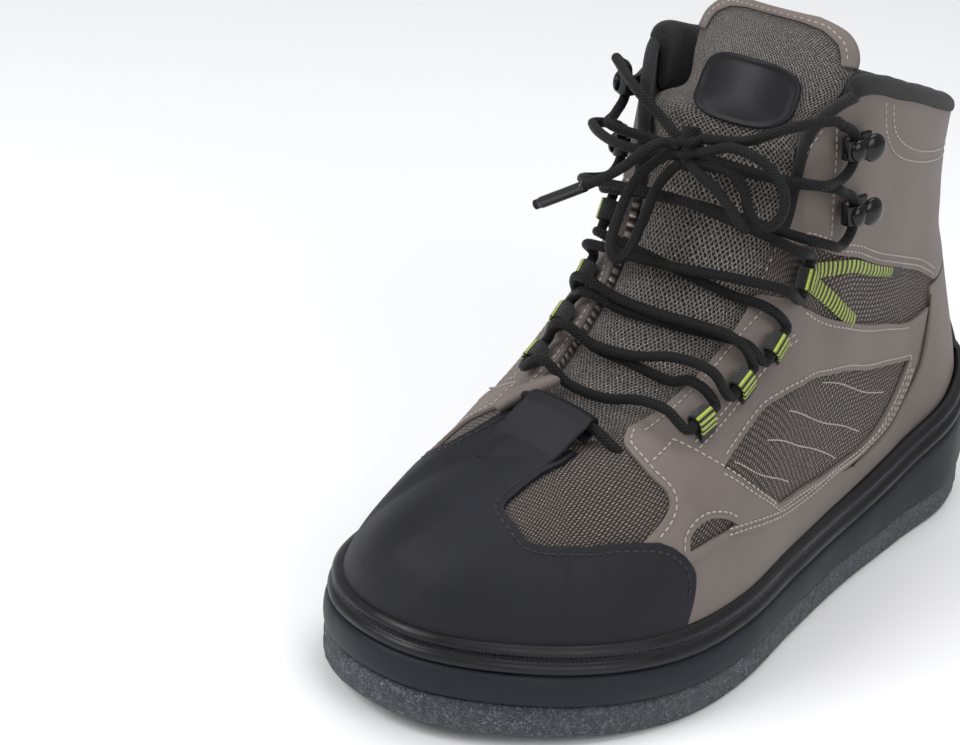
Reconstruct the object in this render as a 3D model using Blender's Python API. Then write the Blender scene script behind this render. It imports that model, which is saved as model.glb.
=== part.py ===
"""Wading boot, left foot: felt sole, midsole, rand, hollow laced upper, padded tongue and collar.
Lengths are in millimetres until a mesh is made. Toe towards -Y, outer side +X, floor z = 0,
origin on the floor under the middle of the heel."""
import math

import bmesh
import bpy
import numpy as np
from mathutils import Vector

for old in list(bpy.data.objects):
    bpy.data.objects.remove(old, do_unlink=True)

MM = 0.001
GAP = 0.3

# last and sole
LENGTH = 305.0
HEEL_BACK = 44.0
HEEL_HALF = 46.5
WAIST_LATERAL = 47.7
WAIST_MEDIAL = 34.0
BALL_LATERAL = 55.4
BALL_MEDIAL = 70.1
TOE_SHIFT = -12.4
TOE_SPRING = 6.4
FELT = 11.2
HEEL_RISE = 32.1
TOE_RISE = 10.6
RAND_HIGH = 9.3
UPPER_INSET = 6.5
WALL = 2.4
INSOLE = 4.0

# upper
INSTEP = 112.0
COLLAR_BACK = 138.0
COLLAR_FRONT = 178.0
SHAFT_FRONT = -117.0
SHAFT_BACK = 23.0
VAMP_END = -198.0
THROAT_END = 0.80

# overlays
SKIN = 1.1
CAP_SKIN = 1.7

# share of length from the heel, half width on the outer side, half width on the inner side
SOLE = (
    (0.00, 0.0, 0.0),
    (0.05, 0.70 * HEEL_HALF, 0.70 * HEEL_HALF),
    (0.14, 0.97 * HEEL_HALF, 0.97 * HEEL_HALF),
    (0.27, 1.00 * HEEL_HALF, 0.91 * HEEL_HALF),
    (0.42, WAIST_LATERAL, WAIST_MEDIAL),
    (0.55, WAIST_LATERAL + 3.5, WAIST_MEDIAL + 18.0),
    (0.68, BALL_LATERAL, BALL_MEDIAL),
    (0.80, 0.955 * BALL_LATERAL, 0.97 * BALL_MEDIAL),
    (0.90, 0.74 * BALL_LATERAL, 0.80 * BALL_MEDIAL),
    (0.96, 0.47 * BALL_LATERAL, 0.54 * BALL_MEDIAL),
    (1.00, 0.0, 0.0),
)
# share of length, height of the midsole's side
MIDSOLE = (
    (0.00, HEEL_RISE),
    (0.20, HEEL_RISE - 12.0),
    (0.42, TOE_RISE + 1.0),
    (0.68, TOE_RISE + 0.5),
    (1.00, TOE_RISE),
)
# station round the sole from heel (0) to toe (1): top line y, top line z, half gap outer side,
# half gap inner side, rise of the lower handle, its bulge, drop of the upper handle, its reach
RIBS = (
    (0.00, SHAFT_BACK, COLLAR_BACK, 0, 0, 0.30, 0, 0.42, -5),
    (0.06, SHAFT_BACK - 1.5, COLLAR_BACK + 0.4, 8, 8, 0.29, -1, 0.42, -5),
    (0.12, SHAFT_BACK - 7, COLLAR_BACK + 2, 15, 15, 0.27, -2, 0.42, -4),
    (0.22, SHAFT_BACK - 27, COLLAR_BACK + 9, 25, 25, 0.25, -4, 0.42, -3),
    (0.32, SHAFT_BACK - 57, COLLAR_BACK + 20, 34, 34, 0.27, -4, 0.42, -2),
    (0.41, SHAFT_BACK - 93, COLLAR_FRONT - 7, 38, 40, 0.32, -1, 0.40, 0),
    (0.46, SHAFT_FRONT + 21, COLLAR_FRONT, 36, 40, 0.35, 2, 0.36, 2),
    (0.50, SHAFT_FRONT + 7, COLLAR_FRONT - 9, 29, 34, 0.35, 4, 0.30, 6),
    (0.56, SHAFT_FRONT, INSTEP + 26, 27, 29, 0.35, 4, 0.20, 10),
    (0.61, SHAFT_FRONT - 17, INSTEP, 25, 25, 0.38, 4, 0.10, 12),
    (0.67, VAMP_END + 38, INSTEP - 18, 22, 22, 0.42, 3, 0.06, 16),
    (0.73, VAMP_END + 13, INSTEP - 28, 17, 17, 0.46, 3, 0.02, 20),
    (0.765, VAMP_END + 4, INSTEP - 32, 9, 9, 0.50, 3, 0.00, 24),
    (0.80, VAMP_END, INSTEP - 34, 0, 0, 0.52, 3, 0.00, 28),
    (0.87, VAMP_END - 19, INSTEP - 40, 0, 0, 0.60, 3, 0.00, 26),
    (0.94, VAMP_END - 32, INSTEP - 45, 0, 0, 0.68, 3, 0.02, 20),
    (1.00, VAMP_END - 38, INSTEP - 48, 0, 0, 0.72, 3, 0.04, 12),
)
# station, fullness of the inner side against the outer side
FULLNESS = ((0.0, 1.0), (0.45, 1.0), (0.60, 0.90), (0.72, 0.68), (0.84, 0.84), (0.93, 1.05), (1.0, 1.0))


def column(table, k):
    return np.array([row[k] for row in table], float)


def curve(table, k, at, ends=False):
    """Smooth curve through one column of a table, without overshoot when ends is set."""
    x = column(table, 0)
    y = column(table, k) if not callable(k) else k(table)
    at = np.asarray(at, float)
    h = np.diff(x)
    d = np.diff(y) / h
    m = np.zeros(len(x))
    m[0] = d[0]
    m[-1] = d[-1]
    for i in range(1, len(x) - 1):
        if not ends:
            m[i] = (h[i - 1] * d[i] + h[i] * d[i - 1]) / (h[i - 1] + h[i])
        elif d[i - 1] * d[i] > 0:
            a = 2 * h[i] + h[i - 1]
            b = h[i] + 2 * h[i - 1]
            m[i] = (a + b) / (a / d[i - 1] + b / d[i])
    k0 = np.clip(np.searchsorted(x, at, side="right") - 1, 0, len(x) - 2)
    t = (at - x[k0]) / h[k0]
    return ((2 * t**3 - 3 * t**2 + 1) * y[k0] + (t**3 - 2 * t**2 + t) * h[k0] * m[k0]
            + (3 * t**2 - 2 * t**3) * y[k0 + 1] + (t**3 - t**2) * h[k0] * m[k0 + 1])


def share(u):
    return (1 - np.cos(np.pi * np.asarray(u, float))) / 2


def spring(y):
    t = (HEEL_BACK - y) / LENGTH
    return TOE_SPRING * np.clip((t - 0.72) / 0.28, 0, 1) ** 2


def footbed(y):
    t = np.clip((HEEL_BACK - y) / LENGTH, 0, 1)
    return spring(y) + FELT + curve(MIDSOLE, 1, t, True)


def edge(side, u):
    """Point of the sole's outline; side is +1 outer, -1 inner."""
    t = share(u)
    outer = np.maximum(curve(SOLE, lambda tb: column(tb, 1) ** 2, t), 0) ** 0.5
    inner = np.maximum(curve(SOLE, lambda tb: column(tb, 2) ** 2, t), 0) ** 0.5
    middle = TOE_SHIFT * np.clip((t - 0.68) / 0.32, 0, 1) ** 2
    return middle + side * np.where(side > 0, outer, inner), HEEL_BACK - LENGTH * t


def outline(side, u, inset):
    side = np.asarray(side, float)
    u = np.asarray(u, float)
    x, y = edge(side, u)
    x1, y1 = edge(side, np.clip(u + 1e-3, 0, 1))
    x0, y0 = edge(side, np.clip(u - 1e-3, 0, 1))
    tx = x1 - x0
    ty = y1 - y0
    size = np.hypot(tx, ty)
    nx = np.where((u <= 0) | (u >= 1), 0, -ty / size * side)
    ny = np.where(u <= 0, 1, np.where(u >= 1, -1, tx / size * side))
    return x - inset * nx, y - inset * ny, nx, ny


def middle_line(y):
    s = np.clip((-150 - y) / 110.0, 0, 1)
    return TOE_SHIFT * s * s * (3 - 2 * s)


def upper(side, u, v):
    """Outside of the upper: u round the sole from heel to toe, v from the sole to the top line."""
    side = np.asarray(side, float)
    over = (v > 1) & (u >= THROAT_END)
    back = (u < 0) | (u > 1)
    side = np.where(over ^ back, -side, side)
    v = np.where(over, 2 - v, v)
    u = np.where(u < 0, -u, np.where(u > 1, 2 - u, u))
    fx, fy, nx, ny = outline(side, u, UPPER_INSET)
    fz = footbed(fy) + GAP
    ty, tz, go, gi, up, bulge, drop, reach = [curve(RIBS, k, u) for k in range(1, 9)]
    gap = np.where(side > 0, go, gi)
    gap = np.where((u >= THROAT_END) | (u <= 0), 0, np.maximum(gap, 0))
    full = np.where(side > 0, 1, curve(FULLNESS, 1, u))
    up = up * full
    reach = reach * full
    rise = tz - fz
    e = 1e-3
    dy = curve(RIBS, 1, u + e) - curve(RIBS, 1, u - e)
    slope = (curve(RIBS, 2, u + e) - curve(RIBS, 2, u - e)) / np.where(abs(dy) < 1e-9, 1, dy)
    slope = np.where(u > 0.72, slope * np.clip((u - 0.72) / 0.08, 0, 1), 0)
    p0 = np.stack([fx, fy, fz], -1)
    p3 = np.stack([middle_line(ty) + side * gap, ty, tz], -1)
    p1 = p0 + np.stack([nx * bulge, ny * bulge, up * rise], -1)
    p2 = p3 + np.stack([nx * reach, ny * reach, reach * ny * slope - drop * rise], -1)
    w = v[..., None]
    return (1 - w)**3 * p0 + 3 * w * (1 - w)**2 * p1 + 3 * w * w * (1 - w) * p2 + w**3 * p3


def facing(side, u, v):
    e = 2e-3
    v = np.where(np.asarray(u) > 0.95, np.minimum(v, 0.97), v)
    a = upper(side, u + e, v) - upper(side, u - e, v)
    b = upper(side, u, v + e) - upper(side, u, v - e)
    n = np.cross(a, b) * -np.asarray(side, float)[..., None]
    return n / np.linalg.norm(n, axis=-1, keepdims=True)


def skin(side, u, v, out):
    """A point at a distance outside the upper."""
    side = np.asarray(side, float) + 0 * np.asarray(u, float)
    u = np.asarray(u, float) + 0 * side
    v = np.asarray(v, float) + 0 * side
    n = facing(side, u, v)
    flat = np.where(v <= 1e-6, 0.0, 1.0)
    n = n * np.stack([1 + 0 * v, 1 + 0 * v, flat], -1)
    n = n / np.linalg.norm(n, axis=-1, keepdims=True)
    return upper(side, u, v) + n * np.asarray(out, float)[..., None]


def paint(name, colour, rough):
    m = bpy.data.materials.new(name)
    m.use_nodes = True
    b = m.node_tree.nodes["Principled BSDF"]
    b.inputs["Base Color"].default_value = (*colour, 1)
    b.inputs["Roughness"].default_value = rough
    return m


def solid(name, verts, faces, colour, rough=0.7):
    mesh = bpy.data.meshes.new(name)
    ob = bpy.data.objects.new(name, mesh)
    bpy.context.scene.collection.objects.link(ob)
    bm = bmesh.new()
    made = [bm.verts.new(Vector(p) * MM) for p in np.asarray(verts, float)]
    for f in faces:
        ring = [made[i] for k, i in enumerate(f) if i != f[k - 1]]
        if len(set(ring)) > 2:
            bm.faces.new(ring)
    bmesh.ops.remove_doubles(bm, verts=bm.verts, dist=4e-5)
    bmesh.ops.recalc_face_normals(bm, faces=bm.faces)
    bmesh.ops.triangulate(bm, faces=[f for f in bm.faces if len(f.verts) > 4])
    if bm.calc_volume(signed=True) < 0:
        bmesh.ops.reverse_faces(bm, faces=bm.faces)
    bm.to_mesh(mesh)
    bm.free()
    mesh.materials.append(paint(name, colour, rough))
    return ob


# stations shared by every piece that goes round the foot
ROUND = np.array(sorted([k / 30 for k in range(31) if k != 23] + [0.765, THROAT_END - 0.015]))


LEVELS = (0, 0.12, 0.25, 0.38, 0.52, 0.66, 0.8, 0.91, 1)


def once_round():
    """Sides and stations once round: outer side heel to toe, then inner side back to the heel."""
    n = len(ROUND) - 1
    side = np.concatenate([np.ones(n), -np.ones(n)])
    return side, np.concatenate([ROUND[:-1], ROUND[1:][::-1]])


def slab(name, levels, colour, rough):
    """Solid between stacked outlines; a level is an inset and a height at each y."""
    verts = []
    side, at = once_round()
    m = len(at)
    n = m // 2
    for inset, height in levels:
        x, y, _, _ = outline(side, at, inset)
        verts += list(np.stack([x, y, height(y)], -1))
    faces = []
    for k in range(len(levels) - 1):
        for i in range(m):
            j = (i + 1) % m
            faces.append((k * m + i, k * m + j, k * m + m + j, k * m + m + i))
    for base, flip in ((0, True), ((len(levels) - 1) * m, False)):
        for i in range(n):
            a, b, c, d = i, i + 1, (m - i - 1) % m, (m - i) % m
            f = [base + a, base + b, base + c, base + d]
            faces.append(f[::-1] if flip else f)
    return solid(name, verts, faces, colour, rough)


# sole
slab("outsole_felt", (
    (1.2, lambda y: spring(y)),
    (0.6, lambda y: spring(y) + 1.0),
    (0.6, lambda y: spring(y) + FELT - GAP),
), (0.10, 0.11, 0.14), 0.95)
slab("midsole", (
    (0.5, lambda y: spring(y) + FELT),
    (0.0, lambda y: spring(y) + FELT + 1.6),
    (0.2, lambda y: footbed(y) - 2.2),
    (1.4, lambda y: footbed(y)),
), (0.03, 0.035, 0.05), 0.55)
slab("insole", (
    (UPPER_INSET + WALL + 1.6, lambda y: footbed(y) + GAP),
    (UPPER_INSET + WALL + 1.6, lambda y: footbed(y) + GAP + INSOLE),
), (0.05, 0.05, 0.06), 0.9)


def height_share(side, u, high):
    """Share v at which the upper's outside is a given height above the sole."""
    v = np.linspace(0, 0.4, 41)
    out = []
    for s, a, h in zip(side, u, high):
        z = upper(np.full(41, s), np.full(41, a), v)[:, 2]
        z = z - z[0]
        out.append(np.interp(h, z, v))
    return np.array(out)


def swept(name, sections, colour, rough, closed):
    """Solid from equal closed sections in order; closed joins last to first."""
    k = len(sections[0])
    verts = np.concatenate(sections)
    faces = []
    n = len(sections)
    for i in range(n if closed else n - 1):
        a = i * k
        b = ((i + 1) % n) * k
        for j in range(k):
            q = (j + 1) % k
            faces.append((a + j, a + q, b + q, b + j))
    if not closed:
        faces.append(tuple(range(k))[::-1])
        faces.append(tuple(range((n - 1) * k, n * k)))
    return solid(name, verts, faces, colour, rough)


def rand():
    side, at = once_round()
    n = len(at) // 2
    # inset from the sole edge, share of the rand's height
    outer = ((1.6, 0.03), (1.1, 0.22), (1.9, 0.42), (1.9, 0.52), (2.6, 0.78), (4.3, 1.0))
    inner = (1.0, 0.5, 0.03)
    cols = []
    for inset, h in outer:
        x, y, _, _ = outline(side, at, inset)
        cols.append(np.stack([x, y, footbed(y) + GAP + h * RAND_HIGH], -1))
    for h in inner:
        v = height_share(side, at, np.full(2 * n, h * RAND_HIGH))
        cols.append(skin(side, at, np.maximum(v, 1e-5), np.full(2 * n, GAP + 0.3)))
    return swept("rand", list(np.stack(cols, 1)), (0.012, 0.012, 0.014), 0.6, True)


rand()


def upper_shell():
    us = list(ROUND)
    vs = LEVELS
    verts = []
    index = {}
    for layer, out in ((0, 0.0), (1, -WALL)):
        for s in (1, -1):
            for i, u in enumerate(us):
                p = skin(np.full(len(vs), s), np.full(len(vs), u), np.array(vs), np.full(len(vs), out))
                for j in range(len(vs)):
                    key = (layer, s, i, j)
                    if s < 0 and (i in (0, len(us) - 1) or (j == len(vs) - 1 and u >= THROAT_END - 1e-6)):
                        index[key] = index[(layer, 1, i, j)]
                        verts[index[key]] = (verts[index[key]] + p[j]) / 2
                    else:
                        index[key] = len(verts)
                        verts.append(p[j])
    faces = []
    for layer in (0, 1):
        for s in (1, -1):
            for i in range(len(us) - 1):
                for j in range(len(vs) - 1):
                    f = [index[(layer, s, i, j)], index[(layer, s, i + 1, j)],
                         index[(layer, s, i + 1, j + 1)], index[(layer, s, i, j + 1)]]
                    faces.append(f if (layer == 0) == (s < 0) else f[::-1])
    top = len(vs) - 1
    for s in (1, -1):
        for i, u in enumerate(us[:-1]):
            for j in (0, top):
                if j == top and u >= THROAT_END - 1e-6:
                    continue
                f = [index[(0, s, i, j)], index[(0, s, i + 1, j)],
                     index[(1, s, i + 1, j)], index[(1, s, i, j)]]
                faces.append(f)
    return solid("upper", verts, faces, (0.19, 0.165, 0.15), 0.8)


upper_shell()


def nearest(side, point):
    """Station and share of the upper's point closest to a point."""
    if side not in nearest.net:
        u, v = np.meshgrid(np.linspace(0.3, 0.85, 166), np.linspace(0.5, 1, 91), indexing="ij")
        nearest.net[side] = (u, v, upper(side + 0 * u, u, v))
    u, v, p = nearest.net[side]
    k = np.unravel_index(np.argmin(((p - point) ** 2).sum(-1)), u.shape)
    return u[k], v[k]


nearest.net = {}

# tongue above the throat: z, front y, half width, wrap back at the edges, thickness
TONGUE_TOP = (
    (COLLAR_FRONT - 6, SHAFT_FRONT + 4.0, 24.0, 10.0, 5.5),
    (COLLAR_FRONT + 4, SHAFT_FRONT + 9.5, 25.5, 12.0, 5.5),
    (COLLAR_FRONT + 12, SHAFT_FRONT + 14.5, 26.5, 12.0, 5.0),
    (COLLAR_FRONT + 18, SHAFT_FRONT + 19.0, 20.0, 9.0, 4.6),
    (COLLAR_FRONT + 20.5, SHAFT_FRONT + 21.0, 12.0, 4.0, 4.2),
)
# tongue under the throat edges: station, depth below the upper's outside, hidden reach, thickness
TONGUE_ROWS = (
    (0.775, 3.1, 6.0, 3.5),
    (0.750, 3.1, 8.0, 4.0),
    (0.720, 3.1, 10.0, 5.0),
    (0.685, 3.2, 11.0, 6.0),
    (0.650, 3.2, 11.0, 6.5),
    (0.615, 3.3, 11.0, 6.5),
    (0.580, 3.4, 10.0, 6.5),
    (0.545, 3.6, 8.0, 6.0),
    (0.515, 4.2, 6.0, 5.5),
)
TONGUE_TILT = 1.5
ARCH = 0.62


def tongue_net():
    """Outer face of the tongue as rows of points from the inner to the outer side, and thickness."""
    rows = []
    thick = []
    for u, deep, reach, t in TONGUE_ROWS:
        ends = {}
        for s in (1, -1):
            e = upper(np.array([s]), np.array([u]), np.array([1.0]))[0]
            n = facing(np.array([s]), np.array([u]), np.array([1.0]))[0]
            across = np.array([-s, 0, 0]) + n * n[0] * s
            across = across / np.linalg.norm(across)
            hidden = []
            for k in (1.0, 0.5):
                a, b = nearest(s, e - across * reach * k)
                nn = facing(np.array([s]), np.array([a]), np.array([b]))[0]
                hidden.append(upper(np.array([s]), np.array([a]), np.array([b]))[0] - nn * deep)
            ends[s] = (hidden, e - n * deep, across)
        a, b = ends[-1][1], ends[1][1]
        span = np.linalg.norm(b - a) * ARCH
        mid = []
        for k in (0.2, 0.4, 0.6, 0.8):
            mid.append((2 * k**3 - 3 * k**2 + 1) * a + (k**3 - 2 * k**2 + k) * span * ends[-1][2]
                       + (3 * k**2 - 2 * k**3) * b - (k**3 - k**2) * span * ends[1][2])
        rows.append(ends[-1][0] + [a] + mid + [b] + ends[1][0][::-1])
        thick.append(t)
    for z, y, half, wrap, t in TONGUE_TOP:
        k = np.linspace(-1, 1, 10)
        rows.append(list(np.stack([TONGUE_TILT + half * k, y + wrap * k * k, z - 0.25 * wrap * k * k], -1)))
        thick.append(t)
    return np.array(rows), np.array(thick)


def blend(net, q, a):
    """Smooth point of a net at row q and column a, both counted from 0."""
    def weights(x, n):
        i = np.clip(np.floor(x).astype(int), 0, n - 2)
        t = x - i
        idx = [np.clip(i + k, 0, n - 1) for k in (-1, 0, 1, 2)]
        w = [(-t + 2 * t * t - t**3) / 2, (2 - 5 * t * t + 3 * t**3) / 2,
             (t + 4 * t * t - 3 * t**3) / 2, (t**3 - t * t) / 2]
        return idx, w
    q = np.asarray(q, float)
    a = np.asarray(a, float)
    iq, wq = weights(q, net.shape[0])
    ia, wa = weights(a, net.shape[1])
    out = 0
    for j in range(4):
        for k in range(4):
            term = net[iq[j], ia[k]]
            w = wq[j] * wa[k]
            out = out + (term * w[..., None] if net.ndim == 3 else term * w)
    return out


NET, THICK = tongue_net()


def tongue_at(q, a, out):
    """Point over the tongue's outer face; q row, a column of the net."""
    e = 0.02
    q = np.asarray(q, float)
    a = np.asarray(a, float)
    last = NET.shape[0] - 1
    wide = NET.shape[1] - 1
    qc = np.clip(q, e, last - e)
    ac = np.clip(a, e, wide - e)
    n = np.cross(blend(NET, qc, ac + e) - blend(NET, qc, ac - e),
                 blend(NET, qc + e, ac) - blend(NET, qc - e, ac))
    n = n / np.linalg.norm(n, axis=-1, keepdims=True)
    return blend(NET, q, a) + n * np.asarray(out, float)[..., None]


def sheet(name, grid_outer, grid_inner, colour, rough):
    """Closed sheet between two equal grids."""
    r, c, _ = grid_outer.shape
    verts = np.concatenate([grid_outer.reshape(-1, 3), grid_inner.reshape(-1, 3)])
    m = r * c
    faces = []
    for i in range(r - 1):
        for j in range(c - 1):
            f = (i * c + j, i * c + j + 1, (i + 1) * c + j + 1, (i + 1) * c + j)
            faces.append(f)
            faces.append(tuple(m + k for k in f[::-1]))
    rim = ([j for j in range(c)] + [i * c + c - 1 for i in range(1, r)]
           + [(r - 1) * c + j for j in range(c - 2, -1, -1)] + [i * c for i in range(r - 2, 0, -1)])
    for a, b in zip(rim, rim[1:] + rim[:1]):
        faces.append((a, b, m + b, m + a))
    return solid(name, verts, faces, colour, rough)


def tongue():
    last = NET.shape[0] - 1
    q = np.linspace(0, last, 2 * last - 3)
    a = np.linspace(0, 9, 13)
    qq, aa = np.meshgrid(q, a, indexing="ij")
    deep = np.interp(q, range(len(THICK)), THICK)[:, None] * (1 - 0.45 * (abs(aa - 4.5) / 4.5) ** 3)
    deep[-1] *= 0.7
    sheet("tongue", tongue_at(qq, aa, 0 * qq), tongue_at(qq, aa, -deep), (0.3, 0.29, 0.27), 0.9)


tongue()

# outlines on the upper: signed station (plus outer side, minus inner side), share of height,
# and 1 where the outline has a corner. The toe cap counts its station from the toe instead.
CAP_EDGE = ((0.315, 0.24), (0.306, 0.33), (0.279, 0.435), (0.238, 0.492), (0.188, 0.525), (0.158, 0.583),
            (0.146, 0.683), (0.133, 0.82), (0.160, 0.875), (0.2, 0.92, 1))
QUARTER_FRONT = ((0.600, 1, 1), (0.725, 1, 1), (0.735, 0.90), (0.727, 0.73), (0.713, 0.60), (0.714, 0.53),
                 (0.713, 0.475, 1), (0.690, 0.395), (0.676, 0.338, 1))
QUARTER_LOW = ((0.650, 0.318), (0.621, 0.280), (0.558, 0.193), (0.500, 0.143), (0.429, 0.135),
               (0.371, 0.162), (0.340, 0.225), (0.322, 0.290), (0.306, 0.392), (0.292, 0.462, 1))
QUARTER_LOW_IN = ((0.640, 0.328), (0.580, 0.322), (0.500, 0.302), (0.420, 0.286), (0.365, 0.302),
                  (0.330, 0.345), (0.306, 0.400), (0.292, 0.462, 1))
WINDOW_IN = ((0.642, 0.742, 1), (0.656, 0.600), (0.640, 0.460), (0.600, 0.385, 1), (0.520, 0.350), (0.440, 0.332),
             (0.385, 0.332), (0.340, 0.372, 1), (0.388, 0.415), (0.446, 0.430), (0.496, 0.455), (0.567, 0.545),
             (0.613, 0.645))
HEEL_FRONT_IN = ((0.283, 0.520, 1), (0.290, 0.450), (0.301, 0.392), (0.324, 0.330), (0.361, 0.288),
                 (0.420, 0.272), (0.500, 0.288), (0.580, 0.308), (0.640, 0.314))
NOTCH_LOW = ((0.338, 0.452), (0.396, 0.484), (0.454, 0.500), (0.500, 0.560), (0.550, 0.692), (0.583, 0.85))
WINDOW = ((0.642, 0.742, 1), (0.658, 0.600), (0.621, 0.408), (0.575, 0.265, 1), (0.542, 0.225), (0.487, 0.172),
          (0.433, 0.160), (0.392, 0.185), (0.355, 0.250), (0.332, 0.333, 1), (0.388, 0.383), (0.446, 0.392),
          (0.496, 0.417), (0.567, 0.525), (0.613, 0.633))
HEEL_FRONT = ((0.283, 0.520, 1), (0.290, 0.450), (0.303, 0.385), (0.318, 0.285), (0.336, 0.218), (0.367, 0.153),
              (0.429, 0.125), (0.500, 0.132, 1))
NOTCH_TOP = ((0.268, 0.530, 1), (0.292, 0.560), (0.329, 0.596), (0.388, 0.628), (0.442, 0.648), (0.483, 0.682),
             (0.533, 0.800), (0.565, 0.930), (0.570, 1, 1))
COUNTER = ((0.155, 0.13, 1), (0.125, 0.19), (0.075, 0.33), (0.04, 0.45), (0.0, 0.50))


def smooth(points, per=3):
    """Closed outline through hand-set points, straight-ended at the corners."""
    p = np.array([q[:2] for q in points], float)
    corner = [len(q) > 2 for q in points]
    n = len(p)
    out = []
    for i in range(n):
        j = (i + 1) % n
        if corner[i] and corner[j]:
            out.append(p[i])
            continue
        a = p[j] - p[i] if corner[i] else (p[j] - p[i - 1]) / 2
        b = p[j] - p[i] if corner[j] else (p[(j + 1) % n] - p[i]) / 2
        for k in range(per):
            t = k / per
            out.append((2 * t**3 - 3 * t**2 + 1) * p[i] + (t**3 - 2 * t**2 + t) * a
                       + (3 * t**2 - 2 * t**3) * p[j] + (t**3 - t**2) * b)
    return out


def hem(a, b, toe=False):
    """Points along the top of the rand from one signed station to another."""
    cuts = [k for k in sorted(set(np.concatenate([-ROUND, ROUND]).round(6))) if min(a, b) < k < max(a, b)]
    if toe:
        cuts = [k for k in sorted(set(np.concatenate([ROUND - 1, 1 - ROUND]).round(6)))
                if min(a, b) < k < max(a, b)]
    run = [a] + (cuts if b > a else cuts[::-1]) + [b]
    g = np.array(run)
    side = np.where(g < 0, -1.0, 1.0)
    u = 1 - abs(g) if toe else abs(g)
    v = height_share(side, u, np.full(len(g), RAND_HIGH + 0.7))
    return [(x, y, 1) for x, y in zip(g, v)]


def fitted(side, u, v, out):
    """A point outside the upper's own facets, which run between its stations and levels."""
    u = np.clip(u, 0, 1)
    i = np.clip(np.searchsorted(ROUND, u, side="right") - 1, 0, len(ROUND) - 2)
    levels = np.array(LEVELS, float)
    j = np.clip(np.searchsorted(levels, v, side="right") - 1, 0, len(levels) - 2)
    s = (u - ROUND[i]) / (ROUND[i + 1] - ROUND[i])
    t = (v - levels[j]) / (levels[j + 1] - levels[j])
    total = 0
    for a, b in ((0, 0), (1, 0), (0, 1), (1, 1)):
        w = (s if a else 1 - s) * (t if b else 1 - t)
        total = total + w[..., None] * skin(side, ROUND[i + a], levels[j + b], out)
    return total


def mirror(points):
    return tuple((-q[0],) + tuple(q[1:]) for q in points)


def net(outline, holes=(), toe=False):
    """Flat net of an outline cut along the upper's own stations and levels."""
    bm = bmesh.new()
    edges = []
    for loop in (outline,) + tuple(holes):
        vs = [bm.verts.new((q[0], q[1], 0)) for q in loop]
        edges += [bm.edges.new((vs[i - 1], vs[i])) for i in range(len(vs))]
    bmesh.ops.triangle_fill(bm, use_beauty=True, use_dissolve=False, edges=edges)
    cuts = [(x, 0) for x in (1 - ROUND if toe else ROUND)] + [(-x, 0) for x in (1 - ROUND if toe else ROUND)]
    cuts = [(c, axis) for c, axis in sorted(set((round(float(c), 6), a) for c, a in cuts))]
    cuts += [(v, 1) for v in LEVELS[1:-1]]
    for c, axis in cuts:
        no = (0, 1, 0) if axis else (1, 0, 0)
        co = (0, c, 0) if axis else (c, 0, 0)
        bmesh.ops.bisect_plane(bm, geom=bm.verts[:] + bm.edges[:] + bm.faces[:], dist=2e-4, plane_co=co, plane_no=no)
    stray = []
    for e in bm.edges:
        if e.is_boundary:
            continue
        a, b = e.verts[0].co, e.verts[1].co
        if not any(abs(a[axis] - c) < 3e-4 and abs(b[axis] - c) < 3e-4 for c, axis in cuts):
            stray.append(e)
    bmesh.ops.dissolve_edges(bm, edges=stray, use_verts=False)
    idle = [v for v in bm.verts if len(v.link_edges) == 2 and not v.is_boundary]
    bmesh.ops.dissolve_verts(bm, verts=idle)
    for tip in [q for q in bm.verts if toe and abs(q.co.x) < 1e-6 and q.co.y > 1 - 1e-6]:
        for f in list(tip.link_faces):
            ring = list(f.verts)
            if len(ring) == 4:
                bmesh.utils.face_split(f, tip, ring[(ring.index(tip) + 2) % 4])
    bmesh.ops.triangulate(bm, faces=bm.faces[:])
    return bm


def overlay(name, outline, holes=(), toe=False, low=GAP + 0.5, high=SKIN, colour=(0.19, 0.165, 0.15), rough=0.7):
    """Skin cut to an outline between two forms of the upper."""
    bm = net(smooth(outline), [smooth(h) for h in holes], toe)
    bm.verts.ensure_lookup_table()
    bm.verts.index_update()
    g = np.round([v.co.x for v in bm.verts], 5)
    v = np.round([v.co.y for v in bm.verts], 5)
    side = np.where(g < 0, -1.0, 1.0)
    u = 1 - abs(g) if toe else abs(g)
    inner = fitted(side, u, v, np.full(len(g), low))
    outer = fitted(side, u, v, np.full(len(g), low + high))
    m = len(g)
    faces = []
    for f in bm.faces:
        k = [q.index for q in f.verts]
        faces.append(tuple(k))
        faces.append(tuple(m + i for i in k[::-1]))
    for e in bm.edges:
        if not e.is_boundary:
            continue
        a, b = e.verts
        if toe and min(a.co.y, b.co.y) > 1 - 1e-5:
            continue
        faces.append((a.index, b.index, m + b.index, m + a.index))
    bm.free()
    return solid(name, np.concatenate([inner, outer]), faces, colour, rough)


TAUPE = (0.18, 0.155, 0.14)
overlay("toe_cap", hem(0.31, -0.34, True) + [(-0.335, 0.24), (-0.322, 0.33), (-0.285, 0.435)] + list(mirror(CAP_EDGE[3:]))
        + [(-0.2, 1, 1), (0.2, 1, 1)] + list(CAP_EDGE[::-1]), toe=True, high=CAP_SKIN,
        colour=(0.02, 0.02, 0.03), rough=0.6)
quarter = QUARTER_FRONT + QUARTER_LOW + NOTCH_LOW
overlay("quarter_outer", quarter, (WINDOW,), colour=TAUPE)
overlay("quarter_inner", mirror(QUARTER_FRONT[:-2] + ((0.680, 0.410), (0.655, 0.335, 1)) + QUARTER_LOW_IN + NOTCH_LOW), (mirror(WINDOW_IN),), colour=TAUPE)
low = ((0.558, 0.182), (0.621, 0.268), (0.650, 0.306), (0.672, 0.325, 1))
heel_loop = (list(HEEL_FRONT[:-1]) + [(0.500, 0.132)] + list(low) + hem(0.672, -0.645)
             + list(mirror(((0.642, 0.314, 1),) + HEEL_FRONT_IN[-2::-1])))
overlay("heel_panel", heel_loop, colour=TAUPE)
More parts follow.
